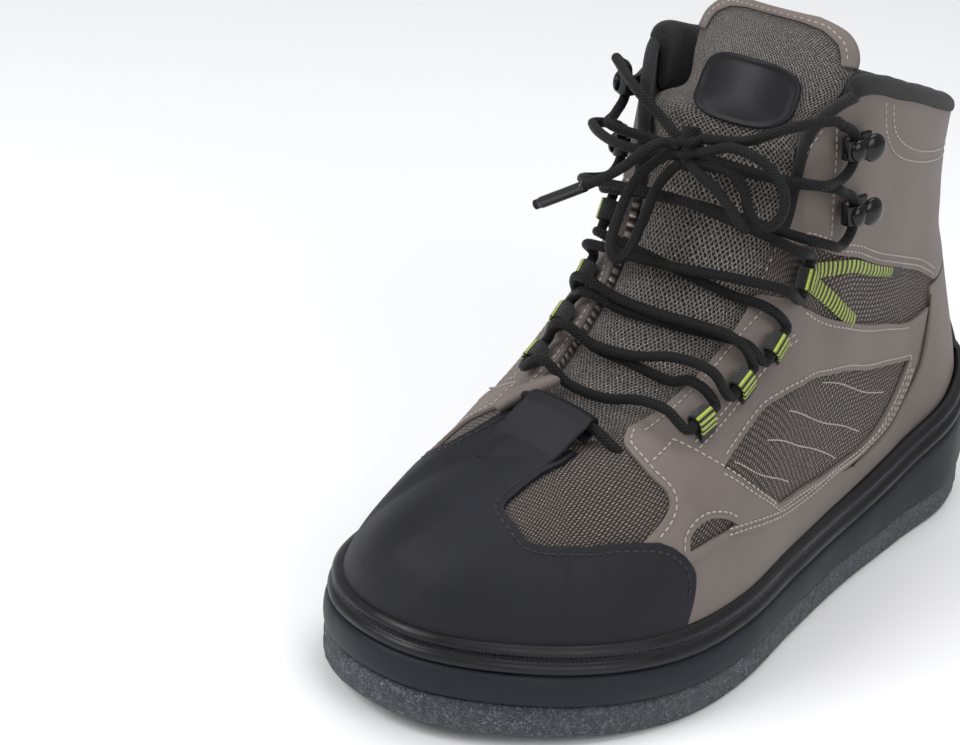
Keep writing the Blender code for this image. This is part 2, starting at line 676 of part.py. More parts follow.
overlay("shaft_panel", [(-0.57, 1, 1)] + list(mirror(NOTCH_TOP[:-1]))[::-1] + list(NOTCH_TOP), colour=TAUPE)
overlay("heel_counter", [(0.155, 0.14, 1)] + list(COUNTER[1:])
        + list(mirror(COUNTER[:-1]))[::-1] + hem(-0.155, 0.155)[1:-1], low=GAP + 0.5 + SKIN + GAP, high=1.0,
        colour=(0.012, 0.012, 0.014))


def cuff():
    """Padded collar edge round the top of the upper and down its inside."""
    us = np.array([0.468, 0.44, 0.41, 0.38, 0.345, 0.31, 0.27, 0.23, 0.19, 0.15, 0.11, 0.07, 0.035, 0.0])
    run = [(1, u) for u in us] + [(-1, u) for u in us[-2::-1]]
    sections = []
    for s, u in run:
        side = np.array([float(s)])
        a = np.array([u])
        one = np.array([1.0])
        top = upper(side, a, one)[0]
        n = facing(side, a, one)[0]
        d = top - upper(side, a, np.array([0.98]))[0]
        rise = np.linalg.norm(d) / 0.02
        d = d / np.linalg.norm(d)
        pad = float(np.interp(u, (0.0, 0.33, 0.468), (6.5, 6.0, 2.0)))
        deep = float(np.interp(u, (0.0, 0.33, 0.468), (34.0, 34.0, 16.0)))
        ring = [top + n * 0.9 + d * 0.5, top + n * 1.3 + d * 3.0, top + n * 0.2 + d * 5.6,
                top - n * (pad / 2 + 1.2) + d * 6.8, top - n * (pad + 1.6) + d * 4.4,
                top - n * (pad + 3.2) + d * 0.4]
        for back, out in ((0.35, 1.0), (0.75, 0.75), (1.0, 0.25)):
            v = np.array([1 - deep * back / rise])
            ring.append(skin(side, a, v, np.array([-WALL - 0.9 - pad * out]))[0])
        for back in (1.0, 0.65, 0.3):
            v = np.array([1 - deep * back / rise])
            ring.append(skin(side, a, v, np.array([-WALL - 0.6]))[0])
        ring.append(top - n * (WALL + 0.6) + d * 0.5)
        sections.append(np.array(ring))
    return swept("collar_cuff", sections, (0.015, 0.015, 0.018), 0.9, False)


cuff()


def tongue_patch(name, q0, a0, half_q, half_a, power, low, high, colour, rough, n=20):
    """Oval skin on the tongue's face, as a net of rings."""
    verts = []
    for out in (low, low + high):
        for k in (1.0, 0.6, 0.0):
            if k == 0.0:
                verts.append(tongue_at(np.array([q0]), np.array([a0]), np.array([out]))[0])
                continue
            th = np.arange(n) * 2 * math.pi / n
            c = np.sign(np.cos(th)) * abs(np.cos(th)) ** (2 / power)
            s = np.sign(np.sin(th)) * abs(np.sin(th)) ** (2 / power)
            verts += list(tongue_at(q0 + half_q * k * s, a0 + half_a * k * c, np.full(n, out)))
    m = 2 * n + 1
    faces = []
    for i in range(n):
        j = (i + 1) % n
        faces += [(i, j, n + j, n + i), (n + i, n + j, 2 * n)]
        faces += [(m + j, m + i, m + n + i, m + n + j), (m + n + j, m + n + i, m + 2 * n)]
        faces.append((j, i, m + i, m + j))
    return solid(name, verts, faces, colour, rough)


tongue_patch("tongue_patch", 9.75, 4.7, 0.95, 2.35, 2.8, 0.6, 1.0, (0.015, 0.016, 0.022), 0.5)


ON_SKIN = GAP + 0.5 + SKIN + GAP


def place(side, u, v, along=False):
    """Point on the upper with its outward, forward and upward directions; along the throat if set."""
    s = np.array([float(side)])
    a = np.array([u])
    b = np.array([v])
    n = facing(s, a, b)[0]
    up = upper(s, a, b + 0.01)[0] - upper(s, a, b - 0.01)[0]
    up = up - n * (up @ n)
    if along:
        ahead = upper(s, a + 0.015, b)[0] - upper(s, a - 0.015, b)[0]
        ahead = ahead - n * (ahead @ n)
        ahead = ahead / np.linalg.norm(ahead)
        return upper(s, a, b)[0], n, ahead, np.cross(ahead, n) * side
    up = up / np.linalg.norm(up)
    ahead = np.cross(n, up) * side
    return upper(s, a, b)[0], n, ahead, up


def prism(name, at, x, y, z, outer, inner, half, colour, rough):
    """Straight bar of a flat section, or a tube where an inner section is given."""
    verts = []
    k = len(outer)
    for e in (-half, half):
        verts += [at + x * p[0] + y * p[1] + z * e for p in outer]
        verts += [at + x * p[0] + y * p[1] + z * e for p in (inner or [])]
    m = len(verts) // 2
    faces = []
    for i in range(k):
        j = (i + 1) % k
        faces.append((i, j, m + j, m + i))
        if inner:
            faces += [(k + j, k + i, m + k + i, m + k + j), (j, i, k + i, k + j),
                      (m + i, m + j, m + k + j, m + k + i)]
    if not inner:
        faces += [tuple(range(k))[::-1], tuple(range(m, m + k))]
    return solid(name, verts, faces, colour, rough)


# station, share of height of the webbing loops from the toe up; the last holds the ankle strap
LOOPS = {1: ((0.678, 0.785), (0.637, 0.772), (0.597, 0.740), (0.542, 0.745)),
         -1: ((0.684, 0.865), (0.644, 0.855), (0.608, 0.845), (0.562, 0.835))}
HOOKS = ((0.468, 0.775), (0.468, 0.915))
LOOP_LONG = 6.0
LACE = 1.7
LOOP_HOLE = 2.25
LOOP_UP = 2.7
LOOP_IN = 1.2


def loops():
    n = 12
    th = [i * 2 * math.pi / n for i in range(n)]
    inner = [(LOOP_IN + LOOP_HOLE * math.cos(t), LOOP_UP + LOOP_HOLE * math.sin(t)) for t in th]
    outer = []
    for t in th:
        c = math.cos(t)
        x = LOOP_IN + (LOOP_HOLE + 0.8) * c - (3.0 * max(-c, 0) ** 1.5)
        y = LOOP_UP + (LOOP_HOLE + 0.8) * math.sin(t) - (1.2 * max(-c, 0))
        outer.append((x, max(y, 0.0)))
    names = ("loop_low", "loop_mid", "loop_high", "ankle_loop")
    for s, word in ((1, "outer"), (-1, "inner")):
        for (u, v), name in zip(LOOPS[s], names):
            p, nrm, ahead, up = place(s, u, v, True)
            prism(name + "_" + word, p + nrm * (ON_SKIN + 0.3), up, nrm, ahead, outer, inner, LOOP_LONG / 2,
                  (0.02, 0.02, 0.02), 0.8)


loops()
HOOK = ((-6, 0), (3, 0), (5.6, 1.1), (6.7, 3.7), (5.6, 6.3), (3, 7.4), (-5, 7.4), (-6, 6.9), (-5.8, 6.1),
        (3, 6.1), (4.7, 5.3), (5.4, 3.7), (4.7, 2.1), (3, 1.3), (-6, 1.3))
for s, word in ((1, "outer"), (-1, "inner")):
    for (u, v), name in zip(HOOKS, ("hook_low", "hook_high")):
        p, nrm, ahead, up = place(s, u, v)
        prism(name + "_" + word, p + nrm * (ON_SKIN + 0.6), ahead, nrm, up, HOOK, None, 4.6,
              (0.01, 0.01, 0.01), 0.2)
STRAP = ((0.528, 0.745, 1), (0.482, 0.664), (0.440, 0.634), (0.390, 0.613), (0.348, 0.590, 1), (0.390, 0.584),
         (0.445, 0.592), (0.474, 0.604, 1), (0.450, 0.525, 1), (0.468, 0.540, 1), (0.512, 0.640), (0.530, 0.690, 1))
overlay("ankle_strap_outer", STRAP, low=GAP + 0.4, high=1.0, colour=(0.02, 0.02, 0.02))
overlay("ankle_strap_inner", mirror(STRAP), low=GAP + 0.4, high=1.0, colour=(0.02, 0.02, 0.02))
PULL = ((-0.03, 0.62, 1), (0.03, 0.62, 1), (0.03, 0.79, 1), (-0.03, 0.79, 1))
overlay("heel_pull", PULL, low=ON_SKIN, high=1.4, colour=(0.012, 0.012, 0.014))
BEAD = ((0.287, 0.500), (0.297, 0.395), (0.313, 0.290), (0.337, 0.222), (0.369, 0.158), (0.400, 0.138),
        (0.432, 0.130))
BEAD_IN = ((0.287, 0.500), (0.296, 0.430), (0.304, 0.395), (0.327, 0.338), (0.363, 0.296), (0.420, 0.279))
BEAD_THICK = 1.0


def sweep(name, path, radius, colour, rough, sides=6):
    """Round bar along a path with flat ends."""
    path = np.array(path, float)
    t = np.gradient(path, axis=0)
    t = t / np.linalg.norm(t, axis=1, keepdims=True)
    a = np.cross(t[0], (0.0, 0.3, 1.0))
    sections = []
    for p, d in zip(path, t):
        a = a - d * (a @ d)
        a = a / np.linalg.norm(a)
        b = np.cross(d, a)
        sections.append(np.array([p + radius * (a * math.cos(k) + b * math.sin(k))
                                  for k in np.arange(sides) * 2 * math.pi / sides]))
    return swept(name, sections, colour, rough, False)


for s, word, bead in ((1, "outer", BEAD), (-1, "inner", BEAD_IN)):
    bead = np.array(bead)
    k = np.linspace(0, len(bead) - 1, 2 * len(bead))
    g = np.interp(k, range(len(bead)), bead[:, 0])
    v = np.interp(k, range(len(bead)), bead[:, 1])
    path = fitted(np.full(len(g), float(s)), g, v, np.full(len(g), ON_SKIN + BEAD_THICK + 0.2))
    sweep("piping_" + word, path, BEAD_THICK, TAUPE, 0.6)
for k, (u, v) in enumerate(((0.505, 0.165), (0.540, 0.165))):
    p, nrm, ahead, up = place(-1, u, v)
    th = np.arange(16) * math.pi / 8
    prism("drain_eyelet_%d" % (k + 1), p + nrm * (ON_SKIN + 0.9), ahead, up, nrm,
          [(4.2 * math.cos(t), 4.2 * math.sin(t)) for t in th],
          [(2.3 * math.cos(t), 2.3 * math.sin(t)) for t in th], 0.5, (0.15, 0.15, 0.16), 0.35)
# folded band at the lower end of the throat
KEEPER_LONG = 17.0
KEEPER_AT = (-8.5, VAMP_END + 4.5, INSTEP - 24.4)


def keeper():
    n = 12
    sections = []
    verts = []
    faces = []
    cols = (-1.0, -0.5, 0.0, 0.5, 1.0)
    tilt = math.radians(24)
    for c in cols:
        centre = np.array(KEEPER_AT) + np.array([KEEPER_LONG * c, 0.0, -3.0 * c * c])
        for wide, high in ((6.5, 3.3), (5.4, 2.35)):
            for i in range(n):
                t = i * 2 * math.pi / n
                x = wide * math.copysign(abs(math.cos(t)) ** 0.8, math.cos(t))
                y = high * math.copysign(abs(math.sin(t)) ** 0.8, math.sin(t))
                verts.append(centre + np.array([0, x * math.cos(tilt) - y * math.sin(tilt),
                                                x * math.sin(tilt) + y * math.cos(tilt)]))
    for k in range(len(cols) - 1):
        a = k * 2 * n
        b = a + 2 * n
        for i in range(n):
            j = (i + 1) % n
            faces += [(a + i, a + j, b + j, b + i), (a + n + j, a + n + i, b + n + i, b + n + j)]
    for a in (0, (len(cols) - 1) * 2 * n):
        for i in range(n):
            j = (i + 1) % n
            faces.append((a + i, a + j, a + n + j, a + n + i))
    return solid("lace_keeper", verts, faces, (0.02, 0.02, 0.03), 0.6)


keeper()


def trim():
    q, a = np.meshgrid(np.linspace(11.6, 13, 5), np.linspace(0.35, 8.65, 13), indexing="ij")
    sheet("tongue_trim", tongue_at(q, a, 1.5 + 0 * q), tongue_at(q, a, 0.5 + 0 * q), TAUPE, 0.6)


trim()


def lace_points():
    """Both runs of the lace from the first bar up to the top hooks."""
    q, a = np.meshgrid(np.linspace(0, 13, 120), np.linspace(0, 9, 60), indexing="ij")
    tongue_base = tongue_at(q, a, 0 * q).reshape(-1, 3)
    tongue_way = (tongue_at(q, a, 1 + 0 * q) - tongue_at(q, a, 0 * q)).reshape(-1, 3)
    s, u, v = np.meshgrid((1.0, -1.0), np.linspace(0.42, 0.76, 60), np.linspace(0.72, 1, 20), indexing="ij")
    edge_base = np.concatenate([fitted(s, u, v, out + 0 * u).reshape(-1, 3) for out in (ON_SKIN, 0.5, -WALL)])
    edge_way = np.concatenate([facing(s, u, v).reshape(-1, 3)] * 3)

    def clear(point, lift):
        for turn in range(4):
            k = np.argmin(((tongue_base - point) ** 2).sum(-1))
            way = tongue_way[k]
            point = point + way * max(lift - (point - tongue_base[k]) @ way, 0)
            i = np.argmin(((edge_base - point) ** 2).sum(-1))
            away = (point - edge_base[i]) @ edge_way[i]
            gap = np.linalg.norm(point - edge_base[i])
            gap = -gap if away < 0 and gap < 4 else gap
            way = way + edge_way[i]
            point = point + way / np.linalg.norm(way) * max(lift + 1.6 - gap, 0)
        return point

    def through(side, k):
        if k < 4:
            p, n, ahead, up = place(side, *LOOPS[side][k], True)
            c = p + n * (ON_SKIN + 0.3 + LOOP_UP) + up * LOOP_IN
            return [c + ahead * 7, c + ahead * 3, c - ahead * 3, c - ahead * 7]
        p, n, ahead, up = place(side, *HOOKS[k - 4])
        c = p + n * (ON_SKIN + 0.6 + 3.7) + ahead * 2.9
        return [c - up * 9 + ahead * 6 + n, c - up * 4.8, c + up * 4.8, c + up * 9 + ahead * 6 + n]

    def across(start, end, lift):
        return [clear(start + (end - start) * t, lift) for t in (0.14, 0.28, 0.5, 0.72, 0.86)]

    runs = []
    for s, lift in ((1, 2.9), (-1, 7.2)):
        run = []
        side = s
        for k in range(6):
            step = through(side, k)
            if run:
                run += across(run[-1], step[0], lift + (3.5 if k > 3 else 1.2))
            run += step
            side = -side
        runs.append(run)
    low = [through(-1, 0)[0], through(1, 0)[0]]
    bar = across(low[0], low[1], 3.2)
    return runs, bar


def round_path(points, per):
    """Smooth path through hand-set points, each stretch in a given number of steps."""
    p = np.array(points, float)
    t = np.zeros_like(p)
    t[1:-1] = (p[2:] - p[:-2]) / 2
    t[0] = p[1] - p[0]
    t[-1] = p[-1] - p[-2]
    path = []
    for i in range(len(p) - 1):
        size = np.linalg.norm(p[i + 1] - p[i])
        a = t[i] / max(np.linalg.norm(t[i]), 1e-9) * size
        b = t[i + 1] / max(np.linalg.norm(t[i + 1]), 1e-9) * size
        for k in np.linspace(0, 1, per, endpoint=False):
            path.append((2 * k**3 - 3 * k**2 + 1) * p[i] + (k**3 - 2 * k**2 + k) * a
                        + (3 * k**2 - 2 * k**3) * p[i + 1] + (k**3 - k**2) * b)
    path.append(p[-1])
    return np.array(path)


runs, bar = lace_points()
sweep("lace_crossings", round_path(runs[0][::-1] + bar[::-1] + runs[1], 2), LACE, (0.012, 0.012, 0.014), 0.8)


def cord(name, points, radius=LACE):
    """Free cord as a curve through points read from a smooth route."""
    path = round_path(points, 4)
    gaps = np.linalg.norm(np.diff(path, axis=0), axis=1)
    run = np.concatenate([[0.0], np.cumsum(gaps)])
    count = max(int(run[-1] / (5.0 * radius)) + 1, 3)
    at = np.linspace(0, run[-1], count)
    curve_data = bpy.data.curves.new(name, "CURVE")
    curve_data.dimensions = "3D"
    curve_data.bevel_depth = radius * MM
    curve_data.bevel_resolution = 2
    curve_data.use_fill_caps = True
    spline = curve_data.splines.new("POLY")
    spline.points.add(count - 1)
    for k, t in enumerate(at):
        spline.points[k].co = [float(np.interp(t, run, path[:, c])) * MM for c in range(3)] + [1.0]
    thing = bpy.data.objects.new(name, curve_data)
    bpy.context.collection.objects.link(thing)
    curve_data.materials.append(paint(name, (0.012, 0.012, 0.014), 0.8))
    return thing


def tie(run, rest):
    """Strand from a top hook to the knot."""
    out = np.array(run[-1]) - np.array(run[-2])
    out = out / np.linalg.norm(out)
    return [np.array(run[-1]) + out * 0.9, np.array(run[-1]) + out * 4] + list(rest)


cord("lace_knot", ((-2.9, -131.5, 166.5), (-2.3, -132.0, 160.0), (-1.5, -132.0, 153.5)), 3.0)
cord("lace_tie_outer", tie(runs[1], ((29.7, -126.8, 173.6), (17.2, -131.0, 167.0), (4.0, -131.5, 164.5))))
cord("lace_tie_inner", tie(runs[0], ((-26.0, -127.0, 171.0), (-15.4, -128.5, 165.2), (-9.0, -131.0, 162.5))))
cord("lace_loop_outer", ((4.5, -134.1, 160.3), (14.0, -135.0, 165.0), (25.7, -135.5, 163.6), (33.4, -136.0, 158.4),
                         (36.2, -137.5, 152.2), (34.2, -139.5, 146.2), (29.8, -140.5, 145.2),
                         (24.3, -138.5, 148.1), (20.5, -136.5, 153.6), (14.1, -135.5, 157.3), (4.0, -134.1, 156.0)))
cord("lace_loop_inner", ((-6.8, -134.1, 152.0), (-10.3, -136.5, 145.2), (-10.7, -143.5, 134.2),
                         (-9.6, -152.5, 127.5), (-11.7, -155.5, 126.0), (-14.6, -154.5, 129.4),
                         (-17.0, -146.5, 137.8), (-17.0, -140.5, 145.5), (-13.4, -137.0, 151.9), (-7.6, -134.1, 156.8)))
cord("lace_end_inner", ((-8.6, -136.1, 161.0), (-12.6, -140.5, 159.0), (-20.4, -142.5, 150.7),
                        (-31.0, -143.5, 142.7), (-50.0, -144.5, 130.4)))
cord("lace_end_outer", ((5.0, -137.7, 154.5), (14.1, -140.5, 151.8), (27.0, -144.0, 143.4)))
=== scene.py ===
import math

import bmesh
import bpy
import numpy as np
from mathutils import Matrix, Vector
from mathutils.kdtree import KDTree


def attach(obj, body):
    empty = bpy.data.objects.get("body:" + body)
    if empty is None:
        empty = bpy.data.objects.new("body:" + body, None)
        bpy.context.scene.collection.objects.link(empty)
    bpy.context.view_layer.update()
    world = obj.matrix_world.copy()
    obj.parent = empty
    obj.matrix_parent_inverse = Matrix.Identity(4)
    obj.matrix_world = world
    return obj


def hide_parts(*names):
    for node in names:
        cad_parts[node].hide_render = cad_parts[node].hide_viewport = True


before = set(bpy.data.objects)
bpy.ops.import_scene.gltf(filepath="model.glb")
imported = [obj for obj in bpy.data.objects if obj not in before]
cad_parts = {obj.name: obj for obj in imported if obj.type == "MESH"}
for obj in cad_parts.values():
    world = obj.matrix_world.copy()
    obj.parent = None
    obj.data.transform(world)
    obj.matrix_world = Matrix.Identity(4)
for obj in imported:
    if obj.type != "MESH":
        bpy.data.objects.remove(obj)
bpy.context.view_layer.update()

MM = 0.001

# ---- Camera, floor and light
# The boot stands alone on a plain pale floor, seen from its outer front and a little above, and
# soft studio light comes from the front left, the right and straight above.
camera_data = bpy.data.cameras.new("camera")
camera_data.sensor_width = 36.0
camera_data.lens = 112.5
camera_data.clip_end = 20.0
camera = bpy.data.objects.new("camera", camera_data)
bpy.context.scene.collection.objects.link(camera)
camera.matrix_world = Matrix(((0.8161, -0.2929, 0.4983, 0.4354), (0.5736, 0.3040, -0.7607, -0.9105),
                              (0.0713, 0.9065, 0.4160, 0.4841), (0.0, 0.0, 0.0, 1.0)))
bpy.context.scene.camera = camera
bpy.context.scene.view_settings.view_transform = "Standard"
bpy.context.scene.view_settings.look = "None"

world = bpy.data.worlds.new("studio")
bpy.context.scene.world = world
world.use_nodes = True
world.node_tree.nodes["Background"].inputs["Color"].default_value = (0.97, 0.98, 1.0, 1.0)
world.node_tree.nodes["Background"].inputs["Strength"].default_value = 0.42


def lamp(name, place, aim, size, watts):
    light = bpy.data.lights.new(name, "AREA")
    light.size = size
    light.energy = watts
    thing = bpy.data.objects.new(name, light)
    bpy.context.scene.collection.objects.link(thing)
    way = Vector(aim) - Vector(place)
    thing.matrix_world = Matrix.Translation(place) @ way.to_track_quat("-Z", "Y").to_matrix().to_4x4()


lamp("key", (-0.55, -1.05, 0.95), (0.0, -0.12, 0.07), 0.7, 11.0)
lamp("fill", (1.05, -0.55, 0.75), (0.0, -0.12, 0.07), 0.8, 6.0)
lamp("top", (0.05, 0.15, 1.25), (0.0, -0.10, 0.07), 0.8, 6.5)


def node(tree, kind, inputs=None, **props):
    """One shader node; an input is a value or another node's output."""
    made = tree.nodes.new(kind)
    for key, value in props.items():
        setattr(made, key, value)
    for key, value in (inputs or {}).items():
        if isinstance(value, bpy.types.NodeSocket):
            tree.links.new(value, made.inputs[key])
        else:
            made.inputs[key].default_value = value
    return made


def calc(tree, what, a, b=0.0, c=None):
    inputs = {0: a, 1: b}
    if c is not None:
        inputs[2] = c
    return node(tree, "ShaderNodeMath", inputs, operation=what).outputs[0]


def ramp(tree, value, low, high, to_low=0.0, to_high=1.0):
    """Smooth step of a value from one level to another."""
    made = node(tree, "ShaderNodeMapRange", {"Value": value, "From Min": low, "From Max": high,
                                             "To Min": to_low, "To Max": to_high},
                interpolation_type="SMOOTHSTEP")
    return made.outputs["Result"]


def mixed(tree, share, a, b):
    made = node(tree, "ShaderNodeMix", {0: share, 6: a, 7: b}, data_type="RGBA")
    return made.outputs[2]


def rgb(red, green, blue):
    return (red, green, blue, 1.0)


def group(name, inputs=(), outputs=("Height",)):
    """Shader group with its sockets; the words Vector and Color name sockets of that kind."""
    made = bpy.data.node_groups.new(name, "ShaderNodeTree")
    for way, words in (("INPUT", inputs), ("OUTPUT", outputs)):
        for word in words:
            kind = "NodeSocket" + (word if word in ("Vector", "Color") else "Float")
            made.interface.new_socket(word, in_out=way, socket_type=kind)
    return made


def finish(name, rough, sheen=0.0, coat=0.0, specular=0.5):
    """Empty material with its Principled shader ready."""
    material = bpy.data.materials.new(name)
    material.use_nodes = True
    shader = material.node_tree.nodes["Principled BSDF"]
    shader.inputs["Roughness"].default_value = rough
    shader.inputs["Sheen Weight"].default_value = sheen
    shader.inputs["Coat Weight"].default_value = coat
    shader.inputs["Coat Roughness"].default_value = 0.25
    shader.inputs["Specular IOR Level"].default_value = specular
    return material, material.node_tree, shader


def relief(tree, shader, height, distance, strength=1.0):
    bump = node(tree, "ShaderNodeBump", {"Height": height, "Distance": distance, "Strength": strength})
    tree.links.new(bump.outputs["Normal"], shader.inputs["Normal"])


def piece(name, bm, material, slot_name, *nodes):
    """Object from a bmesh, riding on the one body and standing for its CAD nodes."""
    mesh = bpy.data.meshes.new(name)
    bm.to_mesh(mesh)
    bm.free()
    mesh.shade_smooth()
    mesh.materials.append(material)
    thing = bpy.data.objects.new(name, mesh)
    bpy.context.scene.collection.objects.link(thing)
    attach(thing, "root")
    if nodes:
        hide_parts(*nodes)
    return thing


def walled(thing, thick, offset=1.0, edge=0.0, segments=2, angle=30.0):
    """Gives an open sheet its thickness and, where edge is set, rounded rims, in mm."""
    wall = thing.modifiers.new("thickness", "SOLIDIFY")
    wall.thickness = thick * MM
    wall.offset = offset
    if edge:
        rounded = thing.modifiers.new("edge", "BEVEL")
        rounded.width = edge * MM
        rounded.segments = segments
        rounded.limit_method = "ANGLE"
        rounded.angle_limit = math.radians(angle)
    return wall


floor_bm = bmesh.new()
bmesh.ops.create_grid(floor_bm, x_segments=2, y_segments=2, size=4.0)
floor_mesh = bpy.data.meshes.new("floor")
floor_bm.to_mesh(floor_mesh)
floor_bm.free()
floor = bpy.data.objects.new("floor", floor_mesh)
bpy.context.scene.collection.objects.link(floor)
floor_paint, tree, shader = finish("floor_paper", 0.9)
shader.inputs["Base Color"].default_value = (0.93, 0.93, 0.94, 1.0)
floor_mesh.materials.append(floor_paint)

# ---- Felt outsole
# One full-length slab of pressed felt, cut square at its side, flat from heel to ball and sprung
# up at the toe. It is cemented under the midsole; short loose fibres stand out of its side.
LENGTH = 305.0
HEEL_BACK = 44.0
TOE_SHIFT = -12.4
TOE_SPRING = 6.4
FELT = 11.2
GAP = 0.3
# share of length, half width on the outer side, half width on the inner side
SOLE = ((0.00, 0.0, 0.0), (0.05, 32.55, 32.55), (0.14, 45.1, 45.1), (0.27, 46.5, 42.3),
        (0.42, 47.7, 34.0), (0.55, 51.2, 52.0), (0.68, 55.4, 70.1), (0.80, 52.9, 68.0),
        (0.90, 41.0, 56.1), (0.96, 26.0, 37.9), (1.00, 0.0, 0.0))
# share of length, height of the midsole's side
MIDSOLE = ((0.00, 32.1), (0.20, 20.1), (0.42, 11.6), (0.68, 11.1), (1.00, 10.6))


def column(table, k):
    return np.array([row[k] for row in table], float)


def curve(table, k, at, ends=False):
    """Smooth curve through one column of a table, without overshoot when ends is set."""
    x = column(table, 0)
    y = column(table, k) if not callable(k) else k(table)
    at = np.asarray(at, float)
    h = np.diff(x)
    d = np.diff(y) / h
    m = np.zeros(len(x))
    m[0] = d[0]
    m[-1] = d[-1]
    for i in range(1, len(x) - 1):
        if not ends:
            m[i] = (h[i - 1] * d[i] + h[i] * d[i - 1]) / (h[i - 1] + h[i])
        elif d[i - 1] * d[i] > 0:
            a = 2 * h[i] + h[i - 1]
            b = h[i] + 2 * h[i - 1]
            m[i] = (a + b) / (a / d[i - 1] + b / d[i])
    k0 = np.clip(np.searchsorted(x, at, side="right") - 1, 0, len(x) - 2)
    t = (at - x[k0]) / h[k0]
    return ((2 * t**3 - 3 * t**2 + 1) * y[k0] + (t**3 - 2 * t**2 + t) * h[k0] * m[k0]
            + (3 * t**2 - 2 * t**3) * y[k0 + 1] + (t**3 - t**2) * h[k0] * m[k0 + 1])


def spring(y):
    t = (HEEL_BACK - y) / LENGTH
    return TOE_SPRING * np.clip((t - 0.72) / 0.28, 0, 1) ** 2


def footbed(y):
    t = np.clip((HEEL_BACK - y) / LENGTH, 0, 1)
    return spring(y) + FELT + curve(MIDSOLE, 1, t, True)


def edge(side, u):
    """Point of the sole's outline; side is +1 outer, -1 inner, u runs from heel to toe."""
    t = (1 - np.cos(np.pi * u)) / 2
    outer = np.maximum(curve(SOLE, lambda tb: column(tb, 1) ** 2, t), 0) ** 0.5
    inner = np.maximum(curve(SOLE, lambda tb: column(tb, 2) ** 2, t), 0) ** 0.5
    middle = TOE_SHIFT * np.clip((t - 0.68) / 0.32, 0, 1) ** 2
    return middle + side * np.where(side > 0, outer, inner), HEEL_BACK - LENGTH * t


def outline(side, u, inset):
    side = np.asarray(side, float)
    u = np.asarray(u, float)
    x, y = edge(side, u)
    x1, y1 = edge(side, np.clip(u + 1e-3, 0, 1))
    x0, y0 = edge(side, np.clip(u - 1e-3, 0, 1))
    tx = x1 - x0
    ty = y1 - y0
    size = np.hypot(tx, ty)
    nx = np.where((u <= 0) | (u >= 1), 0, -ty / size * side)
    ny = np.where(u <= 0, 1, np.where(u >= 1, -1, tx / size * side))
    return x - inset * nx, y - inset * ny, nx, ny


def mapped(across, along, where, weld=0.02):
    """Mesh whose grid is laid by where(x, y), both from 0 to 1, in mm; UV holds the shares."""
    bm = bmesh.new()
    bmesh.ops.create_grid(bm, x_segments=across, y_segments=along, size=0.5)
    uv = bm.loops.layers.uv.new("UVMap")
    shares = np.array([v.co[:2] for v in bm.verts]) + 0.5
    bm.verts.index_update()
    for f in bm.faces:
        for loop in f.loops:
            loop[uv].uv = shares[loop.vert.index]
    spots = where(shares[:, 0], shares[:, 1]) * MM
    for v, p in zip(bm.verts, spots):
        v.co = p
    if weld:
        bmesh.ops.remove_doubles(bm, verts=bm.verts, dist=weld * MM)
    return bm


def scaled_uv(bm, wide, high):
    """UV turned from shares into millimetres."""
    uv = bm.loops.layers.uv.active
    for f in bm.faces:
        for loop in f.loops:
            loop[uv].uv = (loop[uv].uv[0] * wide, loop[uv].uv[1] * high)


def round_foot(t):
    """Side and station for a share of the way round, heel to toe outside and back inside."""
    t = np.mod(t, 1.0)
    side = np.where(t <= 0.5, 1.0, -1.0)
    return side, np.where(t <= 0.5, 2 * t, 2 - 2 * t)


def girdle(profile, steps, wide=1.0):
    """Closed band round the foot; the profile gives inset and height at y for each share."""
    def where(x, y):
        side, u = round_foot(x)
        k = np.clip((y * (len(profile) - 1)).round().astype(int), 0, len(profile) - 1)
        inset = np.array([p[0] for p in profile])[k]
        px, py, _, _ = outline(side, u, inset)
        z = np.zeros(len(x))
        for j, (_, high) in enumerate(profile):
            z = np.where(k == j, high(py), z)
        return np.stack([px, py, z], -1)
    bm = mapped(steps, len(profile) - 1, where)
    scaled_uv(bm, 760.0, wide)
    return bm


def fill_ends(bm, bottom=True, top=True):
    """Flat caps over the band's lower and upper rims."""
    rims = [e for e in bm.edges if e.is_boundary]
    middle = sum(v.co.z for e in rims for v in e.verts) / (2 * len(rims))
    if bottom:
        bmesh.ops.triangle_fill(bm, use_beauty=True, use_dissolve=False,
                                edges=[e for e in rims if e.verts[0].co.z < middle])
    if top:
        bmesh.ops.triangle_fill(bm, use_beauty=True, use_dissolve=False,
                                edges=[e for e in rims if e.verts[0].co.z >= middle])
    bmesh.ops.recalc_face_normals(bm, faces=bm.faces)


felt_group = tree = group("pressed_felt", ("Fibre",), ("Color", "Height"))
given = node(tree, "NodeGroupInput")
spot = node(tree, "ShaderNodeTexCoord").outputs["Object"]
fibre = node(tree, "ShaderNodeTexNoise", {"Vector": spot, "Scale": given.outputs["Fibre"], "Detail": 6.0,
                                          "Roughness": 0.72, "Distortion": 1.8}).outputs["Fac"]
clump = node(tree, "ShaderNodeTexNoise", {"Vector": spot, "Scale": 420.0, "Detail": 4.0,
                                          "Roughness": 0.6, "Distortion": 1.2}).outputs["Fac"]
cloud = node(tree, "ShaderNodeTexNoise", {"Vector": spot, "Scale": 45.0, "Detail": 3.0}).outputs["Fac"]
blend = calc(tree, "ADD", calc(tree, "MULTIPLY", fibre, 0.76), calc(tree, "MULTIPLY", clump, 0.24))
light = ramp(tree, blend, 0.50, 0.63)
dark = ramp(tree, blend, 0.34, 0.50)
tone = mixed(tree, dark, rgb(0.008, 0.009, 0.014), rgb(0.030, 0.034, 0.047))
tone = mixed(tree, light, tone, rgb(0.27, 0.29, 0.35))
tone = mixed(tree, ramp(tree, cloud, 0.35, 0.7, 0.0, 0.28), tone, rgb(0.075, 0.08, 0.10))
node(tree, "NodeGroupOutput", {"Color": tone, "Height": blend})

